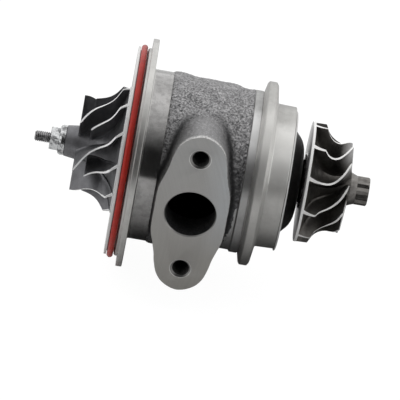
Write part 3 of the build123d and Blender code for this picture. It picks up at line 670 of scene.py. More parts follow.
def surface_of(f, x, y, z):
    """Quad surface of f = 0 on a regular grid, its points slid onto the surface."""
    h = x[1] - x[0]
    s = f < 0
    nx, ny, nz = f.shape
    cell_any = np.zeros((nx - 1, ny - 1, nz - 1), bool)
    cell_all = np.ones_like(cell_any)
    corner = [(i, j, k) for i in (0, 1) for j in (0, 1) for k in (0, 1)]
    for i, j, k in corner:
        c = s[i : nx - 1 + i, j : ny - 1 + j, k : nz - 1 + k]
        cell_any |= c
        cell_all &= c
    ci, cj, ck = np.nonzero(cell_any & ~cell_all)
    index = np.full(cell_any.shape, -1, np.int32)
    index[ci, cj, ck] = np.arange(len(ci))
    val = {c: f[ci + c[0], cj + c[1], ck + c[2]].astype(np.float64) for c in corner}
    total, count = np.zeros((len(ci), 3)), np.zeros(len(ci))
    for a in corner:
        for d in range(3):
            if a[d]:
                continue
            b = tuple(v + (1 if q == d else 0) for q, v in enumerate(a))
            fa, fb = val[a], val[b]
            hit = (fa < 0) != (fb < 0)
            t = np.where(hit, fa / np.where(hit, fa - fb, 1.0), 0.0)
            p = np.array(a, float)[None, :].repeat(len(ci), 0)
            p[:, d] += t
            total += np.where(hit[:, None], p, 0.0)
            count += hit
    local = total / count[:, None]
    v = np.stack([x[ci], y[cj], z[ck]], 1) + local * h
    quads = []
    for d in range(3):
        o1, o2 = [q for q in range(3) if q != d]
        sl_a, sl_b = [slice(1, -1)] * 3, [slice(1, -1)] * 3
        sl_a[d], sl_b[d] = slice(0, -1), slice(1, None)
        sa, sb = s[tuple(sl_a)], s[tuple(sl_b)]
        e = np.nonzero(sa != sb)
        flip = sa[e]
        g = [e[0].copy(), e[1].copy(), e[2].copy()]
        for q in range(3):
            if q != d:
                g[q] = g[q] + 1
        ring = []
        for s1, s2 in ((-1, -1), (0, -1), (0, 0), (-1, 0)):
            q = [g[0].copy(), g[1].copy(), g[2].copy()]
            q[o1] += s1
            q[o2] += s2
            ring.append(index[q[0], q[1], q[2]])
        quad = np.stack(ring, 1)
        if d == 1:
            flip = ~flip
        quad[~flip] = quad[~flip][:, ::-1]
        quads.append(quad)
    quads = np.concatenate(quads)
    return v, [quads]


def trilinear(f, x, y, z, p):
    h = x[1] - x[0]
    q = (p - np.array([x[0], y[0], z[0]])) / h
    i = np.clip(np.floor(q).astype(int), 0, np.array(f.shape) - 2)
    t = q - i
    out = 0.0
    for a in (0, 1):
        for b in (0, 1):
            for c in (0, 1):
                w = (t[:, 0] if a else 1 - t[:, 0]) * (t[:, 1] if b else 1 - t[:, 1]) * (t[:, 2] if c else 1 - t[:, 2])
                out = out + w * f[i[:, 0] + a, i[:, 1] + b, i[:, 2] + c]
    return out


def cast_body():
    h = 0.3
    x = np.arange(-12.9, 16.2, h)
    y = np.arange(-32.4, 31.8, h)
    z = np.arange(-30.0, 30.0 + h, h)
    d_face = outline_distance(closed_curve(diamond(FLANGE_FACE, 28.1)), x, z)[:, None, :]
    d_root = outline_distance(closed_curve(diamond(FLANGE_ROOT, 23.8)), x, z)[:, None, :]
    X = x[:, None, None].astype(np.float32)
    Y = y[None, :, None].astype(np.float32)
    Z = z[None, None, :].astype(np.float32)
    s = np.clip((-Y - 9.0) / (-DRAIN_Y - 9.0), 0.0, 1.08)
    ped = d_root * (1 - s) + d_face * s
    ped = np.maximum(ped, Y + 3.0)
    R = np.sqrt(Y * Y + Z * Z)
    ang = np.degrees(np.arctan2(-Z, -Y))
    high = np.clip((ang + 8.0) / -16.0 + 0.5, 0, 1)
    high = np.maximum(high, np.clip((np.abs(ang) - 100) / 10, 0, 1))
    edge = 25.05 + 0.55 * high - 0.2 * np.exp(-(((ang + 95.0) / 26.0) ** 2))
    xs = np.array([-12.9, -12.2, -11.75, -11.35, -9.5, -7.0, -5.0, -3.0, 7.3, 8.9, 10.4])
    rs = np.array([25.5, 26.5, 27.0, 27.2, 27.3, 27.2, 26.75, 26.6, 26.5, 26.35, 25.75])
    prof = clean_table(list(zip(xs, rs)), 0.35)
    Rx = read(prof, X).astype(np.float32)
    tail = np.clip((X - 9.4) / 2.4, 0, 1)
    tail = tail * tail * (3 - 2 * tail)
    target = edge + 0.0 * X
    Rc = Rx * (1 - tail) + target * tail
    Rc = Rc + np.clip((X - 13.2) / 1.2, 0, 1) * (0.30 * high)
    Rc = Rc - np.clip((X - 14.15) / 0.35, 0, 4) * 0.6
    barrel = R - Rc
    f = smooth_min(barrel, ped, 3.2)
    pad = np.maximum(np.sqrt(X * X + Z * Z) - (10.5 + (30.5 - Y) * (2.2 / 16.5)), 3.0 - Y)
    f = smooth_min(f, pad, 3.0)
    f = np.maximum(f, -X - 12.02)
    f = np.maximum(f, X - 15.6)
    # the milled plane of the drain flange with a broken casting edge, and the feed pad's plane
    cut = DRAIN_Y - 0.02 - Y
    k = 0.9
    f = -smooth_min(-f, -(cut - 0.28), k)
    f = -smooth_min(-f, -(Y - 30.5 - 0.30), k)
    f = np.maximum(f, 22.0 - R)
    v, faces = surface_of(f, x, y, z)
    for _ in range(2):
        g = np.stack([(trilinear(f, x, y, z, v + e) - trilinear(f, x, y, z, v - e)) / 0.2 for e in np.eye(3) * 0.1], 1)
        val = trilinear(f, x, y, z, v)
        n2 = (g * g).sum(1)
        step = np.clip(val / np.maximum(n2, 0.05), -0.2, 0.2)
        v = v - g * step[:, None]
    n = g / np.maximum(np.linalg.norm(g, axis=1), 1e-6)[:, None]
    r = np.hypot(v[:, 1], v[:, 2])
    grain = 0.085 * noise(v, 0.62) + 0.06 * noise(v, 1.15, 9.0) + 0.07 * noise(v, 2.6, 21.0) + 0.10 * noise(v, 7.0, 33.0)
    flat = (v[:, 1] < DRAIN_Y + 0.35) | (v[:, 1] > 30.15)
    dome = np.clip((r - 27.3) / 1.5, 0, 1)
    grain = grain * (1 - 0.55 * dome)
    grain = np.where(flat, grain * 0.25, grain)
    grain = grain * np.clip(0.3 + (v[:, 0] + 11.9) / 1.3, 0.3, 1)
    v = v + n * grain[:, None]

    def hollow(p):
        """1 in the bottom of the hollow between the barrel and the drain pedestal, 0 away from it."""
        p = np.clip(p, (x[0] + h, y[0] + h, z[0] + h), (x[-1] - 2 * h, y[-1] - 2 * h, z[-1] - 2 * h))
        a, b = trilinear(np.broadcast_to(barrel, f.shape), x, y, z, p), trilinear(np.broadcast_to(ped, f.shape), x, y, z, p)
        return np.exp(-(((a - b) / 1.8) ** 2)) * np.clip((-p[:, 1] - 6.0) / 6.0, 0, 1) * np.clip(0.06 + (np.abs(p[:, 0]) - 1.5) / 6.5, 0.06, 1)

    return v, facing_out(v, faces), hollow


# ------------------------------------------------------------------ housing
def threaded(r_min, r_max, pitch, x0, x1, lead, phi_n=48, step=None, body=None):
    """Closed helical thread body along +X: flat crest, rounded root, fading in over lead. r at x0 and x1 ends on the axis."""
    step = step or pitch / 10
    xs = np.arange(x0, x1 + step * 0.5, step)
    phi = np.linspace(0, 2 * math.pi, phi_n, endpoint=False)
    P, XX = np.meshgrid(phi, xs)
    ph = ((XX - x0) / pitch - P / (2 * math.pi)) % 1.0
    tooth = np.clip(1.25 - np.abs(ph - 0.5) * 2 / 0.8, 0, 1)
    tooth = tooth * tooth * (3 - 2 * tooth)
    r = r_min + (r_max - r_min) * tooth
    if lead:
        fade = np.clip((XX - x0) / lead, 0, 1)
        r = r_min + (r - r_min) * fade
    if body is not None:
        r = body(XX, P, r)
    v = np.stack([XX, -r * np.cos(P), -r * np.sin(P)], 2).reshape(-1, 3)
    n = len(xs)
    idx = np.arange(n * phi_n).reshape(n, phi_n)
    nxt = np.roll(idx, -1, 1)
    quads = np.stack([idx[:-1], idx[1:], nxt[1:], nxt[:-1]], 2).reshape(-1, 4)
    v = np.concatenate([v, [[xs[0], 0, 0], [xs[-1], 0, 0]]])
    a, b = n * phi_n, n * phi_n + 1
    tris = np.concatenate([np.stack([np.full(phi_n, a), idx[0], nxt[0]], 1), np.stack([np.full(phi_n, b), nxt[-1], idx[-1]], 1)])
    return v, facing_out(v, [quads, tris])


def box_solid(cx, cy, cz, sx, sy, sz):
    v = np.array([(cx + a * sx / 2, cy + b * sy / 2, cz + c * sz / 2) for a in (-1, 1) for b in (-1, 1) for c in (-1, 1)], float)
    q = np.array([(0, 1, 3, 2), (4, 6, 7, 5), (0, 4, 5, 1), (2, 3, 7, 6), (0, 2, 6, 4), (1, 5, 7, 3)])
    return v, facing_out(v, [q])


def housing():
    seg = 288
    outer = soft(
        [
            (-24.15, 0), (-24.15, 33.0, 0.22), (-23.35, 33.0, 0.12), (-23.35, 31.85, 0.15), (-21.0, 31.85, 0.15), (-21.0, 32.6, 0.1),
            (-20.6, 33.0, 0.15), (-19.85, 33.0, 0.12), (-19.85, 36.15, 0.18), (-17.95, 36.15, 0.32), (-17.95, 27.35, 0.25), (-17.6, 26.9, 0.2), (-17.0, 26.85, 0.1),
            (-11.62, 26.85, 0.12), (-11.3, 26.6, 0.1), (-11.1, 23.0, 0), (9.6, 23.0, 0), (9.9, 25.05, 0.1), (10.2, 25.18, 0.1), (14.05, 25.22, 0.1), (14.5, 25.8, 0.15), (16.75, 25.8, 0.15), (17.0, 25.55, 0.1), (17.2, 25.7, 0.1),
            (17.85, 28.55, 0.25), (18.3, 29.2, 0.25), (20.6, 29.2, 0.3), (21.15, 28.4, 0.25), (22.0, 23.1, 0.15), (22.3, 22.7, 0.12), (27.85, 22.52, 0.2), (28.0, 22.35, 0.12),
            (28.0, 18.9, 0.1), (28.2, 18.6, 0.05), (28.2, 13.9, 0.2), (29.9, 10.9, 0.2), (30.3, 10.2, 0.1), (30.3, 0),
        ],
        0.12,
    )
    body = dress(thing("bearing_housing", *turned(outer, seg, closed=False)), [STEEL, CAST])
    cast_v, cast_f, hollow = cast_body()
    middle = thing("cast", cast_v, cast_f)
    dress(middle, [STEEL, CAST], np.ones(len(middle.data.polygons)))
    body = combine(body, middle, "UNION")
    # milled planes
    combine(body, thing("plane_a", *box_solid(0, DRAIN_Y - 5.0, 0, 28, 10.0, 80)), "DIFFERENCE")
    combine(body, thing("plane_b", *box_solid(0, 30.5 + 5.0, 0, 30, 10.0, 60)), "DIFFERENCE")
    # hollows along the shaft axis
    front = soft(
        [
            (-25.15, 0), (-25.15, 24.3), (-24.15, 24.3, 0), (-23.85, 24.0, 0.08), (-22.9, 24.0, 0.05), (-22.9, 25.2, 0.1), (-21.7, 25.2, 0.1), (-21.7, 24.0, 0.05),
            (-17.3, 24.0, 0.15), (-17.3, 17.0, 0.1), (-14.2, 17.0, 0.2), (-14.2, 10.5, 0.1), (-11.0, 10.5, 0.5), (-10.6, 6.2, 0.1), (-10.6, 0),
        ],
        0.1,
    )
    bores = [
        (-11.0, 0), (-11.0, 5.31), (-3.8, 5.31), (-3.8, 6.1), (-2.9, 6.1), (-2.9, 5.31), (-2.0, 5.31), (-1.5, 6.0), (11.0, 6.0), (11.5, 5.31), (12.3, 5.31),
        (12.3, 6.1), (13.2, 6.1), (13.2, 5.31), (20.2, 5.31), (20.2, 6.1), (21.1, 6.1), (21.1, 5.31), (21.7, 5.31), (21.7, 10.5), (24.2, 10.5), (25.0, 6.42), (31.5, 6.42), (31.5, 0),
    ]
    combine(body, thing("front", *turned(front, 192, closed=False)), "DIFFERENCE")
    combine(body, thing("bores", *turned(bores, 96, closed=False)), "DIFFERENCE")
    gallery = thing("gallery", *turned(soft([(-9.4, 8.6), (-9.4, 19.5), (-7.4, 21.5), (7.6, 21.5), (9.6, 19.5), (9.6, 8.6)], 1.2, 4), 144))
    combine(gallery, thing("half", *box_solid(0, 31.5, 0, 60, 60, 80)), "DIFFERENCE")
    boss = thing("boss", *turned([(-1.5, 0), (-1.5, 9.5), (11.0, 9.5), (11.0, 0)], 96, closed=False))
    combine(boss, thing("half", *box_solid(0, 31.5, 0, 60, 60, 80)), "DIFFERENCE")
    combine(gallery, boss, "UNION")
    combine(body, gallery, "DIFFERENCE")
    for b in ((-12.0, -13.0, 0, 4.4, 13.0, 14.0), (-10.0, -15.0, 0, 4.0, 7.0, 14.0), (16.4, -15.6, 0, 15.6, 5.6, 11.0), (22.95, -9.5, 0, 2.5, 14.0, 9.0)):
        combine(body, thing("way", *box_solid(*b)), "DIFFERENCE")
    # drain bore and its funnel
    bore = soft([(-32.5, 0), (-32.5, 8.15), (DRAIN_Y, 8.15, 0), (DRAIN_Y + 0.35, 7.8, 0.12), (DRAIN_Y + 5.6, 7.8, 0.6), (-13.0, 8.6), (-13.0, 0)], 0.1, 4)
    combine(body, thing("drain", *turned(bore, 144, closed=False, axis="Y")), "DIFFERENCE")
    # tapped holes of the drain flange
    for sz in (-1, 1):
        v, f = threaded(2.5, 2.95, 1.0, 0.0, 12.0, 0.0, 56)
        v = np.stack([v[:, 1], v[:, 0] + DRAIN_Y + 0.35, v[:, 2] + sz * 20.0], 1)
        combine(body, thing("tap", v, facing_out(v, f)), "DIFFERENCE")
        mouth = [(-32.0, 0), (-32.0, 3.4), (DRAIN_Y, 3.4), (DRAIN_Y + 0.07, 3.24), (DRAIN_Y + 0.41, 2.66), (DRAIN_Y + 0.45, 2.52), (DRAIN_Y + 0.45, 0)]
        combine(body, thing("mouth", *turned(mouth, 72, closed=False, axis="Y", centre=(0, 0, sz * 20.0))), "DIFFERENCE")
    # oil feed port
    v, f = threaded(4.5, 4.95, 1.25, 0.0, 10.0, 0.0, 72)
    v = np.stack([v[:, 1], 30.5 - 0.2 - v[:, 0], v[:, 2]], 1)
    combine(body, thing("feed", v, facing_out(v, f)), "DIFFERENCE")
    mouth = [(31.5, 0), (31.5, 5.4), (30.5, 5.4), (29.6, 4.5), (29.6, 0)]
    combine(body, thing("mouth", *turned(mouth, 96, closed=False, axis="Y")), "DIFFERENCE")
    way = [(20.8, 0), (20.8, 1.6), (12.0, 1.6), (12.0, 0)]
    combine(body, thing("feed_way", *turned(way, 32, closed=False, axis="Y")), "DIFFERENCE")

    c, n = face_data(body.data)
    x, r = c[:, 0], np.hypot(c[:, 1], c[:, 2])
    from_bore, from_tap = np.hypot(c[:, 0], c[:, 2]), np.hypot(c[:, 0], np.abs(c[:, 2]) - 20.0)
    skin = np.empty(len(c), np.int32)
    body.data.polygons.foreach_get("material_index", skin)
    skin = skin == 1
    index = np.zeros(len(c), int)
    index[(x < -17.3)] = 11
    index[(x > 9.8)] = 4
    index[(x > 16.98)] = 2
    index[(x > 22.1)] = 1
    index[skin] = 3
    face = (n[:, 1] < -0.97) & (np.abs(c[:, 1] - DRAIN_Y) < 0.03)
    index[face] = 5
    index[(n[:, 1] > 0.97) & (np.abs(c[:, 1] - 30.5) < 0.03)] = 5
    bore_w = (from_bore < 8.75) & (c[:, 1] < -12.9) & ~face
    index[bore_w] = 6
    # the mouth cones take the darker cut-metal colour, painted shade
    index[bore_w & (c[:, 1] < DRAIN_Y + 0.4)] = 7
    tap = (from_tap < 3.45) & (c[:, 1] < -18.5) & ~face
    index[tap] = 8
    index[tap & (c[:, 1] < DRAIN_Y + 0.46) & (from_tap > 2.52)] = 7
    # painted highlight along the outer edge of the tapped mouths
    index[tap & (c[:, 1] < DRAIN_Y + 0.07) & (from_tap > 3.24)] = 9
    feed = (np.hypot(c[:, 0], c[:, 2]) < 5.45) & (c[:, 1] > 11.9) & ~((n[:, 1] > 0.97) & (np.abs(c[:, 1] - 30.5) < 0.03))
    index[feed] = 6
    index[feed & (c[:, 1] > 29.55)] = 7
    inside = (r < 22.2) & (x > -23.0) & (x < 27.2) & (c[:, 1] > -22.5) & ~feed
    index[inside & (r > 8.0) & (x > -13) & (x < 24.5)] = 8
    index[(x < -20.9) & (r > 31.9)] = 10
    dress(body, [STEEL, SATIN, RIM, CAST, NECK, MILLED, BORE, EDGE, INNER, CUT_GLINT, LIP, FLANGE], index)
    shade(body, 34)
    # the hollow weight of the points, which the cast skin turns into painted shade
    co = np.empty(len(body.data.vertices) * 3, np.float32)
    body.data.vertices.foreach_get("co", co)
    body.data.attributes.new("hollow", "FLOAT", "POINT").data.foreach_set("value", hollow(co.reshape(-1, 3) / MM - np.array([OX, 0, 0])).astype(np.float32))
    return piece(body, "housing", "cast_housing", "bearing_housing")


housing()


# ------------------------------------------------------------------ turned pieces on the housing
def ring_piece(name, prof, body, slot, mat, seg=192, closed=True, rad=0.12, wobble=None, shift=(0, 0, 0), angle=32):
    v, f = turned(soft(prof, rad, 3, closed), seg, closed, wobble)
    ob = thing(name, v + np.array(shift), f)
    dress(ob, [mat])
    shade(ob, angle)
    return piece(ob, body, slot, name)


def o_ring(name, cx, cr, rad, mat, slot, flash=0.03, seg=224):
    t = np.linspace(0, 2 * math.pi, 28, endpoint=False)
    rr = rad * (1 + flash * (np.exp(-((t - math.pi / 2 - 0.12) / 0.10) ** 2) + np.exp(-((t - 3 * math.pi / 2) / 0.10) ** 2)))
    prof = [(cx + a * math.cos(b), cr + a * math.sin(b)) for a, b in zip(rr, t)]

    def wave(phi, i, xx, r):
        return xx + 0.015 * np.sin(5 * phi + 1.0) + 0.01 * np.sin(11 * phi), r + 0.008 * np.sin(7 * phi)

    v, f = turned(prof, seg, True, wave)
    ob = thing(name, v, f)
    dress(ob, [mat])
    shade(ob, 60)
    return piece(ob, "housing", slot, name)


o_ring("flange_o_ring", -22.175, 32.85, 0.985, RED, "red_rubber")

ring_piece(
    "seal_insert",
    [
        (-23.45, 6.8, 0.2), (-23.45, 20.9, 0.25), (-23.15, 21.5, 0.2), (-21.65, 21.55, 0.25), (-21.65, 24.0, 0.15), (-20.6, 23.98, 0.1), (-20.6, 22.45, 0.1), (-18.7, 22.45, 0.1),
        (-18.7, 23.98, 0.1), (-17.3, 23.98, 0.2), (-17.3, 15.6, 0.2), (-19.4, 14.4, 0.4), (-19.4, 9.0, 0.4), (-18.6, 8.0, 0.2), (-18.6, 6.5, 0.15), (-23.15, 6.5, 0.1),
    ],
    "housing", "alloy_plate", ALLOY_PLATE, 224,
)

shield = ring_piece(
    "heat_shield",
    [
        (28.12, 21.5, 0.03), (28.12, 22.0, 0.05), (28.25, 22.2, 0.1), (28.45, 22.2, 0.2), (28.65, 21.9, 0.3), (28.75, 21.4, 0.4), (28.8, 19.5, 0.4), (28.8, 17.4, 0.6), (28.97, 16.75, 0.8), (29.4, 16.0, 1.0),
        (30.1, 15.2, 1.2), (30.85, 14.4, 1.2), (31.55, 13.4, 1.2), (32.05, 12.3, 1.2), (32.4, 11.2, 1.2), (32.62, 9.8, 1.0), (32.7, 8.8, 0.4), (32.7, 8.0, 0.12), (32.1, 8.0, 0.12), (32.02, 9.6, 1.0), (31.8, 11.0, 1.2),
        (31.48, 12.0, 1.2), (31.02, 13.0, 1.2), (30.4, 13.9, 1.2), (29.65, 14.7, 1.0), (28.95, 15.5, 1.0), (28.52, 16.4, 0.8), (28.35, 17.2, 0.4), (28.35, 21.4, 0.1),
    ],
    "housing", "dark_sheet", SHIELD, 224, shift=(0, 0, -1.1), angle=40,
)
cs, ns = face_data(shield.data)
dress(shield, [SHIELD, SHIELD_RIM], np.where(np.hypot(cs[:, 1], cs[:, 2] + 1.1) > 19.4, 1, 0))
shade(shield, 40)


# ------------------------------------------------------------------ bladed wheels
def blade(hub, shroud, angle, offset, m_n, t_n, t_hub, t_tip, fillet, nose, tail=0.0, sink=0.6):
    """One blade as a closed solid. hub and shroud are matching curves (x, r); angle(x) in degrees from -Y towards -Z.
    fillet is the radius at the root, as (part of the way, radius) pairs."""
    H, S = np.asarray(hub, float), np.asarray(shroud, float)
    m = H.shape[0]
    t = np.concatenate([[-sink / 10.0], np.linspace(0, 1, t_n) ** 1.25])
    P = H[:, None, :] * (1 - t)[None, :, None] + S[:, None, :] * t[None, :, None]
    span = np.linalg.norm(S - H, axis=1)[:, None]
    x, r = P[..., 0], P[..., 1]
    th = np.radians(read(angle, x) + offset)
    C = np.stack([x, -r * np.cos(th), -r * np.sin(th)], 2)
    du = np.gradient(C, axis=0)
    dv = np.gradient(C, axis=1)
    N = np.cross(du, dv)
    N /= np.maximum(np.linalg.norm(N, axis=2, keepdims=True), 1e-9)
    along = np.concatenate([[0], np.cumsum(np.linalg.norm(np.diff(0.5 * (H + S), axis=0), axis=1))])
    w = 0.5 * (t_hub * (1 - np.clip(t, 0, 1)) + t_tip * np.clip(t, 0, 1))[None, :] * np.ones_like(x)
    root = np.interp(along / along[-1], *zip(*fillet))[:, None]
    w = w + root * np.exp(-np.maximum(t, 0)[None, :] * span / np.maximum(0.75 * root, 0.05))
    # rounded leading edge
    if nose:
        k = np.clip(along / nose, 0, 1)[:, None]
        w = w * np.sqrt(np.clip(1 - (1 - k) ** 2, 0.0, 1))
        w = np.maximum(w, 0.02)
    if tail:
        k = np.clip((along[-1] - along) / tail, 0, 1)[:, None]
        w = w * (0.45 + 0.55 * np.sqrt(np.clip(1 - (1 - k) ** 2, 0, 1)))
    A, B = C + N * w[..., None], C - N * w[..., None]
    # tips lie on the turned envelope
    for side in (A, B):
        rr = np.hypot(side[:, -1, 1], side[:, -1, 2])
        want = np.interp(side[:, -1, 0], *envelope_of(S))
        k = want / rr
        side[:, -1, 1] *= k
        side[:, -1, 2] *= k
    nt = len(t)
    va, vb = A.reshape(-1, 3), B.reshape(-1, 3)
    ia = np.arange(m * nt).reshape(m, nt)
    ib = ia + m * nt
    q = []
    kind = []

    def add(a, k):
        q.append(a)
        kind.append(np.full(len(a), k))

    add(np.stack([ia[:-1, :-1], ia[1:, :-1], ia[1:, 1:], ia[:-1, 1:]], 2).reshape(-1, 4), 0)
    add(np.stack([ib[:-1, :-1], ib[:-1, 1:], ib[1:, 1:], ib[1:, :-1]], 2).reshape(-1, 4), 0)
    add(np.stack([ia[:-1, -1], ia[1:, -1], ib[1:, -1], ib[:-1, -1]], 1), 1)
    add(np.stack([ib[:-1, 0], ib[1:, 0], ia[1:, 0], ia[:-1, 0]], 1), 0)
    add(np.stack([ib[0, :-1], ia[0, :-1], ia[0, 1:], ib[0, 1:]], 1), 2)
    add(np.stack([ia[-1, :-1], ib[-1, :-1], ib[-1, 1:], ia[-1, 1:]], 1), 3)
    v = np.concatenate([va, vb])
    return v, facing_out(v, [np.concatenate(q)]), np.concatenate(kind)


def envelope_of(S):
    """x and r of the turned envelope as an increasing table, with the last radius held."""
    x, r = S[:, 0], S[:, 1]
    o = np.argsort(x)
    return x[o], r[o]


def along_curve(points, n, power=1.0):
    """n points evenly along a polyline that has been smoothed."""
    p = np.asarray(points, float)
    s = np.concatenate([[0], np.cumsum(np.linalg.norm(np.diff(p, axis=0), axis=1))])
    fine = np.linspace(0, s[-1], 400)
    xy = np.stack([np.interp(fine, s, p[:, 0]), np.interp(fine, s, p[:, 1])], 1)
    k = np.exp(-0.5 * (np.arange(-24, 25) / 9.0) ** 2)
    k /= k.sum()
    ext = np.concatenate([2 * xy[0] - xy[24:0:-1], xy, 2 * xy[-1] - xy[-2:-26:-1]])
    sm = np.stack([np.convolve(ext[:, 0], k, "valid"), np.convolve(ext[:, 1], k, "valid")], 1)
    sm[0], sm[-1] = p[0], p[-1]
    d = np.concatenate([[0], np.cumsum(np.linalg.norm(np.diff(sm, axis=0), axis=1))])
    want = d[-1] * np.linspace(0, 1, n) ** power
    return np.stack([np.interp(want, d, sm[:, 0]), np.interp(want, d, sm[:, 1])], 1)


CW_ANGLE = clean_table([(-38.2, 5.6), (-36.9, -4.2), (-35.4, -13.8), (-33.7, -22.0), (-32.0, -27.0), (-30.45, -30.5), (-29.2, -32.6), (-28.0, -35.6), (-27.3, -38.3), (-26.7, -40.8), (-25.6, -43.6), (-24.2, -46.8)], 0.35)
CW_HUB = [(-38.15, 5.35), (-36.2, 5.65), (-34.0, 6.25), (-32.0, 7.15), (-30.2, 8.5), (-28.6, 10.3), (-27.15, 12.6), (-25.95, 15.3), (-25.05, 18.0), (-24.5, 20.02)]
CW_SHROUD = [(-38.15, 15.07), (-36.5, 15.0), (-34.4, 14.93), (-32.8, 15.05), (-31.4, 15.4), (-30.2, 15.95), (-29.1, 16.75), (-28.2, 17.7), (-27.4, 18.85), (-26.65, 20.02)]
TW_ANGLE = clean_table([(34.0, -34.9), (35.0, -34.1), (36.5, -32.6), (38.5, -31.8), (40.2, -31.8), (41.0, -32.2), (41.8, -33.1), (42.6, -34.8), (43.3, -36.9), (44.0, -39.9), (44.7, -43.4), (45.4, -47.4), (46.0, -51.7), (46.6, -57.4), (47.2, -63.6), (48.0, -71.5), (48.8, -78.5)], 0.3)
TW_HUB = [(34.75, 19.05), (34.95, 17.6), (35.4, 15.6), (36.2, 13.3), (37.5, 11.0), (39.3, 9.1), (41.5, 7.6), (44.0, 6.5), (46.5, 5.75), (48.2, 5.36)]
TW_SHROUD = [(38.42, 19.05), (38.9, 18.05), (39.5, 16.85), (40.3, 15.85), (41.2, 15.13), (42.3, 14.53), (43.5, 14.2), (44.9, 14.25), (46.2, 14.42), (47.3, 14.4)]


def spin(v, degrees):
    """Turn about the shaft, from -Y towards -Z."""
    a = math.radians(degrees)
    y, z = v[:, 1], v[:, 2]
    return np.stack([v[:, 0], y * math.cos(a) - z * math.sin(a), y * math.sin(a) + z * math.cos(a)], 1)


def compressor():
    n = 56
    hub, shroud = along_curve(CW_HUB, n), along_curve(CW_SHROUD, n)
    full = blade(hub, shroud, CW_ANGLE, 0.0, n, 14, 0.95, 0.52, [(0, 0.45), (0.6, 0.4), (0.88, 0.14), (1, 0.1)], 0.55)
    cut = 16
    hs = along_curve([(-34.4, 6.12)] + CW_HUB[3:], n - cut)
    ss = along_curve([(-34.4, 14.93)] + CW_SHROUD[3:], n - cut)
    part = blade(hs, ss, CW_ANGLE, -30.0, n - cut, 14, 0.9, 0.52, [(0, 0.45), (0.5, 0.4), (0.85, 0.14), (1, 0.1)], 0.5)
    prof = soft(
        [(-41.75, 0), (-41.75, 4.85, 0.2)] + [(x, r, 0.6) for x, r in CW_HUB[:-1]] + [(-24.52, 20.05, 0.1), (-24.0, 20.05, 0.12), (-24.0, 9.0, 0.6), (-23.8, 5.6, 0.2), (-23.6, 5.4, 0.1), (-23.6, 0)],
        0.2,
    )
    core = thing("compressor_wheel", *turned(prof, 240, closed=False))
    for k in range(6):
        for v, f, kind in (full, part):
            combine(core, thing("blade", spin(v, 60.0 * k), f), "UNION")
    combine(core, thing("hole", *turned([(-43, 0), (-43, 2.02), (-22, 2.02), (-22, 0)], 48, closed=False)), "DIFFERENCE")
    c, nn = face_data(core.data)
    x, r = c[:, 0], np.hypot(c[:, 1], c[:, 2])
    env = np.interp(x, *envelope_of(shroud))
    nr = (nn[:, 1] * c[:, 1] + nn[:, 2] * c[:, 2]) / np.maximum(r, 1e-6)
    slope = np.gradient(shroud[:, 1]) / np.gradient(shroud[:, 0])
    k = np.interp(x, shroud[np.argsort(shroud[:, 0]), 0], slope[np.argsort(shroud[:, 0])])
    # a turned tip faces square to the envelope
    square = (nr - k * nn[:, 0]) / np.sqrt(1 + k * k)
    tip = (x > -38.3) & (x < -26.6) & (np.abs(r - env) < 0.35) & (square > 0.8)
    rim = (r > 19.7) & (x > -26.8)
    back = (x > -24.1)
    index = np.zeros(len(c), int)
    index[tip | rim] = 1
    index[back & ~rim] = 1
    dress(core, [ALLOY, ALLOY_CUT], index)
    shade(core, 30)
    return piece(core, "rotor", "alloy_wheel", "compressor_wheel")


compressor()


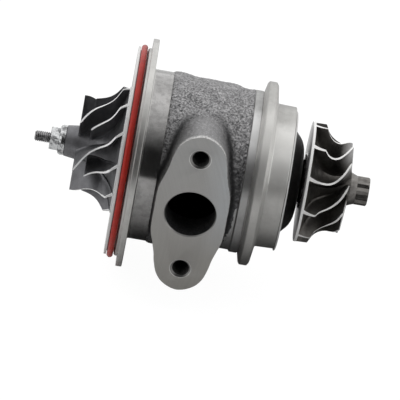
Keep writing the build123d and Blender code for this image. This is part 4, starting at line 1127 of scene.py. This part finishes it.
def turbine():
    n = 52
    hub, shroud = along_curve(TW_HUB, n), along_curve(TW_SHROUD, n)
    v, f, kind = blade(hub, shroud, TW_ANGLE, 0.0, n, 14, 1.2, 0.6, [(0, 0.12), (0.08, 0.18), (0.3, 0.5), (1, 0.45)], 0.0, tail=0.8)
    prof = soft(
        [(24.9, 0), (24.9, 6.35), (26.5, 6.35), (26.5, 5.2), (27.7, 5.2), (27.7, 6.35), (32.9, 6.35, 0.4), (33.15, 6.9, 0.3), (33.2, 8.4, 0.15), (33.5, 8.8, 0.15), (33.9, 9.0, 0.15), (33.9, 19.1, 0.12), (34.72, 19.1, 0.12)]
        + [(x, r, 0.6) for x, r in TW_HUB[1:]]
        + [(48.6, 5.25, 0.3), (50.4, 4.55, 0.2), (50.7, 4.4, 0.2), (50.7, 0)],
        0.12,
    )
    core = thing("turbine_wheel", *turned(prof, 240, closed=False))
    for k in range(11):
        combine(core, thing("blade", spin(v, 360.0 / 11 * k), f), "UNION")

    # twelve-point nose
    def lobes(phi, i, xx, rr):
        # two hexagons laid over each other
        a1 = np.abs(((phi) % math.radians(60)) - math.radians(30))
        a2 = np.abs(((phi + math.radians(30)) % math.radians(60)) - math.radians(30))
        hexa = np.maximum(3.93 / np.cos(a1), 3.93 / np.cos(a2))
        return xx, np.minimum(rr, np.minimum(hexa, 4.52))

    nose_prof = soft([(50.45, 0), (50.45, 4.6), (54.2, 4.6, 0.3), (54.6, 4.2, 0.1), (54.6, 0)], 0.15, 4)
    nose = thing("nose", *turned(nose_prof, 288, closed=False, wobble=lobes))
    combine(core, nose, "UNION")
    dimple = soft([(55.2, 0), (55.2, 1.4), (54.6, 1.4, 0.05), (53.7, 0.0)], 0.05)
    combine(core, thing("dimple", *turned(dimple, 40, closed=False)), "DIFFERENCE")
    c, nn = face_data(core.data)
    x, r = c[:, 0], np.hypot(c[:, 1], c[:, 2])
    xs, rs = envelope_of(shroud)
    env = np.interp(x, xs, rs)
    nr = (nn[:, 1] * c[:, 1] + nn[:, 2] * c[:, 2]) / np.maximum(r, 1e-6)
    slope = np.gradient(rs) / np.maximum(np.gradient(xs), 1e-6)
    k = np.interp(x, xs, slope)
    square = (nr - k * nn[:, 0]) / np.sqrt(1 + k * k)
    tip = (x > 38.2) & (x < 47.9) & (np.abs(r - env) < 0.4) & (square > 0.8)
    inlet = (r > 18.8) & (x > 33.8) & (x < 38.7) & (nr > 0.75)
    index = np.zeros(len(c), int)
    index[tip | inlet] = 1
    index[(x > 48.5)] = 2
    index[(x < 33.98) & (r > 5)] = 3
    index[(x < 33.86) & (r < 9.2)] = 5
    index[(x < 33.12)] = 4
    dress(core, [HEAT, HEAT_CUT, HEAT_NOSE, HEAT_BACK, SHIELD, SHAFT], index)
    shade(core, 30)
    return piece(core, "rotor", "heat_alloy", "turbine_wheel")


turbine()


# ------------------------------------------------------------------ shaft thread and lock nut
def shaft():
    def body(XX, P, r):
        end = np.clip((XX + 51.6) / 0.4, 0, 1)
        r = np.where(XX < -51.2, np.minimum(r, 1.15 + 0.5 * end), r)
        return r

    v, f = threaded(1.40, 1.74, 0.62, -51.6, -42.3, 0.5, 64, 0.055, body)
    ob = thing("shaft", v, f)
    prof = soft(
        [
            (-42.6, 0), (-42.6, 1.75), (-42.0, 2.0), (-12.6, 2.0), (-12.6, 3.0), (-12.35, 3.25), (-2.0, 3.25), (-1.6, 2.9), (11.1, 2.9), (11.5, 3.25), (21.2, 3.25),
            (21.6, 3.6), (22.4, 3.6), (22.4, 5.9), (22.7, 6.35), (24.9, 6.35), (24.9, 0),
        ],
        0.06,
    )
    combine(ob, thing("stem", *turned(prof, 96, closed=False)), "UNION")
    c, _ = face_data(ob.data)
    dress(ob, [SHAFT, THREAD], np.where(c[:, 0] < -42.3, 1, 0))
    shade(ob, 40)
    return piece(ob, "rotor", "turned_steel", "shaft")


shaft()


def nut():
    seg = 288
    phi = np.linspace(0, 2 * math.pi, seg, endpoint=False)
    start = math.radians(28.2)
    # distance to the flats, corners slightly rounded
    c = np.stack([np.clip(np.cos(phi - start - math.radians(30) - k * math.radians(60)), 1e-3, 1) for k in range(6)])
    hexa = 3.55 / (np.sum(c**70, 0) ** (1 / 70))
    # phi runs from -Y towards -Z; the chamfer cone climbs from r 3.45 at the end face
    x0, x1 = -46.7, -44.05
    cone_x = x0 + np.clip(hexa - 3.42, 0, 9) * 0.62
    ring = []

    def put(x, r):
        ring.append((np.full(seg, x) if np.isscalar(x) else x, np.full(seg, r) if np.isscalar(r) else r))

    put(-42.0, 2.0); put(-42.4, 1.78); put(x0 + 0.6, 1.78); put(x0, 2.3); put(x0 - 0.02, 2.5)
    put(x0, 3.2); put(x0 + 0.02, 3.42)
    for k in (0.33, 0.66, 0.94, 1.0):
        put(x0 + 0.02 + (cone_x - x0) * k, 3.42 + (hexa - 3.42) * k)
    put(cone_x + 0.12, hexa + 0.0)
    put(x1 - 0.1, hexa)
    put(x1 + 0.02, np.minimum(hexa, 4.3) + 0.02)
    for x, r in soft([(x1, 4.2), (x1 + 0.35, 4.4, 0.15), (x1 + 0.95, 4.75, 0.15), (-42.0, 4.75, 0.12), (-41.75, 4.6, 0.1), (-41.75, 2.0)], 0.12, 3, closed=False)[1:]:
        put(x, r)
    v = np.concatenate([np.stack([x, -r * np.cos(phi), -r * np.sin(phi)], 1) for x, r in ring])
    idx = np.arange(seg)
    nxt = (idx + 1) % seg
    q = []
    for i in range(len(ring)):
        a, b = i * seg, ((i + 1) % len(ring)) * seg
        q.append(np.stack([a + idx, b + idx, b + nxt, a + nxt], 1))
    ob = thing("lock_nut", v, facing_out(v, [np.concatenate(q)]))
    dress(ob, [ZINC])
    shade(ob, 24)
    return piece(ob, "rotor", "zinc_steel", "lock_nut")


nut()

# ------------------------------------------------------------------ carried-over pieces
CARRIED = {
    "insert_o_ring": (BLACK, "black_rubber"),
    "insert_snap_ring": (SPRING, "spring_steel"),
    "oil_deflector": (SHEET, "sheet_steel"),
    "thrust_bearing": (BRONZE, "bronze"),
    "thrust_bearing_pins": (SHAFT, "turned_steel"),
    "thrust_sleeve": (SHAFT, "turned_steel"),
    "thrust_ring": (SHAFT, "turned_steel"),
    "compressor_piston_ring": (RING, "ring_iron"),
    "turbine_piston_ring": (RING, "ring_iron"),
    "journal_bearing_compressor": (BRONZE, "bronze"),
    "journal_bearing_turbine": (BRONZE, "bronze"),
    "bearing_snap_rings": (SPRING, "spring_steel"),
}
for name, (mat, slot) in CARRIED.items():
    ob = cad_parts[name]
    ob.data.materials.clear()
    ob.data.materials.append(mat)
    for p in ob.data.polygons:
        p.material_index = 0

# ------------------------------------------------------------------ floor and light
FLOOR_Z = -36.15 * MM


def plane(name, size, z):
    v = [(-size, -size, z), (size, -size, z), (size, size, z), (-size, size, z)]
    me = bpy.data.meshes.new(name)
    me.from_pydata(v, [], [(0, 1, 2, 3)])
    ob = bpy.data.objects.new(name, me)
    scene.collection.objects.link(ob)
    return ob


def floor_material(name, albedo, glow, shade_under=False):
    m = bpy.data.materials.new(name)
    m.use_nodes = True
    nt = m.node_tree
    nt.nodes.clear()
    out = nt.nodes.new("ShaderNodeOutputMaterial")
    d = nt.nodes.new("ShaderNodeBsdfDiffuse")
    d.inputs[0].default_value = (albedo, albedo, albedo, 1)
    if shade_under:
        # this plane is not seen: painted shadow bands on it, darker close under the object, for what the lower half of
        # the metal reflects
        tc, sep = nt.nodes.new("ShaderNodeTexCoord"), nt.nodes.new("ShaderNodeSeparateXYZ")
        nt.links.new(tc.outputs["Object"], sep.inputs[0])
        spread, ramp = nt.nodes.new("ShaderNodeMapRange"), nt.nodes.new("ShaderNodeValToRGB")
        nt.links.new(sep.outputs[1], spread.inputs[0])
        spread.inputs[1].default_value, spread.inputs[2].default_value = -0.2, 0.2
        nt.links.new(spread.outputs[0], ramp.inputs[0])
        stops = [(0.0, 0.8), (0.15, 0.74), (0.29, 0.62), (0.40, 0.56), (0.425, 0.48), (0.455, 0.26), (0.475, 0.14), (0.54, 0.10), (0.575, 0.45), (0.61, 0.8)]
        el = ramp.color_ramp.elements
        while len(el) < len(stops):
            el.new(0.5)
        for e, (p, c) in zip(el, stops):
            e.position = p
            e.color = (c * albedo / 0.8, c * albedo / 0.8, c * albedo / 0.8, 1)
        beside, blend = nt.nodes.new("ShaderNodeMapRange"), nt.nodes.new("ShaderNodeMix")
        nt.links.new(sep.outputs[0], beside.inputs[0])
        beside.inputs[1].default_value, beside.inputs[2].default_value = 0.004, 0.0
        blend.data_type = "RGBA"
        nt.links.new(beside.outputs[0], blend.inputs[0])
        nt.links.new(ramp.outputs[0], blend.inputs[6])
        blend.inputs[7].default_value = (0.8, 0.8, 0.8, 1)
        nt.links.new(blend.outputs[2], d.inputs[0])
    e = nt.nodes.new("ShaderNodeEmission")
    e.inputs[0].default_value = (1, 1, 1, 1)
    e.inputs[1].default_value = glow
    a = nt.nodes.new("ShaderNodeAddShader")
    nt.links.new(d.outputs[0], a.inputs[0])
    nt.links.new(e.outputs[0], a.inputs[1])
    nt.links.new(a.outputs[0], out.inputs[0])
    return m


seen = plane("floor", 6.0, FLOOR_Z)
seen.data.materials.append(floor_material("floor_pale", 0.10, 0.96))
seen.visible_glossy = False
seen.visible_diffuse = False
seen.visible_shadow = False
lit = plane("floor_bounce", 6.0, FLOOR_Z - 0.0004)
lit.data.materials.append(floor_material("floor_white", 0.80, 0.0, True))
lit.visible_camera = False

world = bpy.data.worlds.new("studio")
world.use_nodes = True
scene.world = world
nt = world.node_tree
nt.nodes.clear()
out = nt.nodes.new("ShaderNodeOutputWorld")
bg = nt.nodes.new("ShaderNodeBackground")
tc = nt.nodes.new("ShaderNodeTexCoord")
sep = nt.nodes.new("ShaderNodeSeparateXYZ")
nt.links.new(tc.outputs["Generated"], sep.inputs[0])


def world_math(op, a, b=None):
    n = nt.nodes.new("ShaderNodeMath")
    n.operation = op
    for s, v in zip(n.inputs, (a, b)):
        if isinstance(v, bpy.types.NodeSocket):
            nt.links.new(v, s)
        elif v is not None:
            s.default_value = v
    return n.outputs[0]


def world_ramp(value, stops):
    n = nt.nodes.new("ShaderNodeValToRGB")
    nt.links.new(value, n.inputs[0])
    el = n.color_ramp.elements
    while len(el) < len(stops):
        el.new(0.5)
    for e, (p, c) in zip(el, stops):
        e.position = p
        e.color = (c, c, c, 1)
    return n.outputs[0]


# the studio round the shaft's axis, by the angle over the front horizon (-Y): a dark front, a
# softbox that begins high in front, the overhead light and the bright back wall
turn = world_math("ARCTAN2", sep.outputs[2], world_math("MULTIPLY", sep.outputs[1], -1.0))
turn = world_math("ADD", world_math("MULTIPLY", turn, 0.5 / math.pi), 0.5)
round_axis = world_ramp(
    turn,
    [(0.0, 0.5), (0.5, 0.02), (0.6, 0.02), (0.625, 0.08), (0.658, 0.20), (0.692, 0.48), (0.725, 0.63), (0.758, 0.72), (0.786, 0.98), (0.828, 1.0), (0.861, 0.81), (1.0, 0.88)],
)
# bright panels to the left and right, along the shaft
ends = world_ramp(world_math("ABSOLUTE", sep.outputs[0]), [(0.0, 0.0), (0.45, 0.0), (0.85, 1.0), (1.0, 1.0)])
blend = nt.nodes.new("ShaderNodeMix")
blend.data_type = "RGBA"
nt.links.new(ends, blend.inputs[0])
nt.links.new(round_axis, blend.inputs[6])
blend.inputs[7].default_value = (0.75, 0.75, 0.75, 1)
nt.links.new(blend.outputs[2], bg.inputs[0])
bg.inputs[1].default_value = 1.5
nt.links.new(bg.outputs[0], out.inputs[0])

# what the camera sees beyond the floor: a pale wall all round
wall = thing("backdrop", *turned([(0, 0)] + [(5500 * (1 - math.cos(a)) , 5500 * math.sin(a)) for a in np.linspace(0.1, math.pi - 0.1, 24)] + [(11000, 0)], 48, closed=False, centre=(-5500 - OX, 0, 0)))
dress(wall, [floor_material("wall_pale", 0.0, 1.02)])
for hidden in ("visible_glossy", "visible_diffuse", "visible_transmission", "visible_volume_scatter", "visible_shadow"):
    setattr(wall, hidden, False)
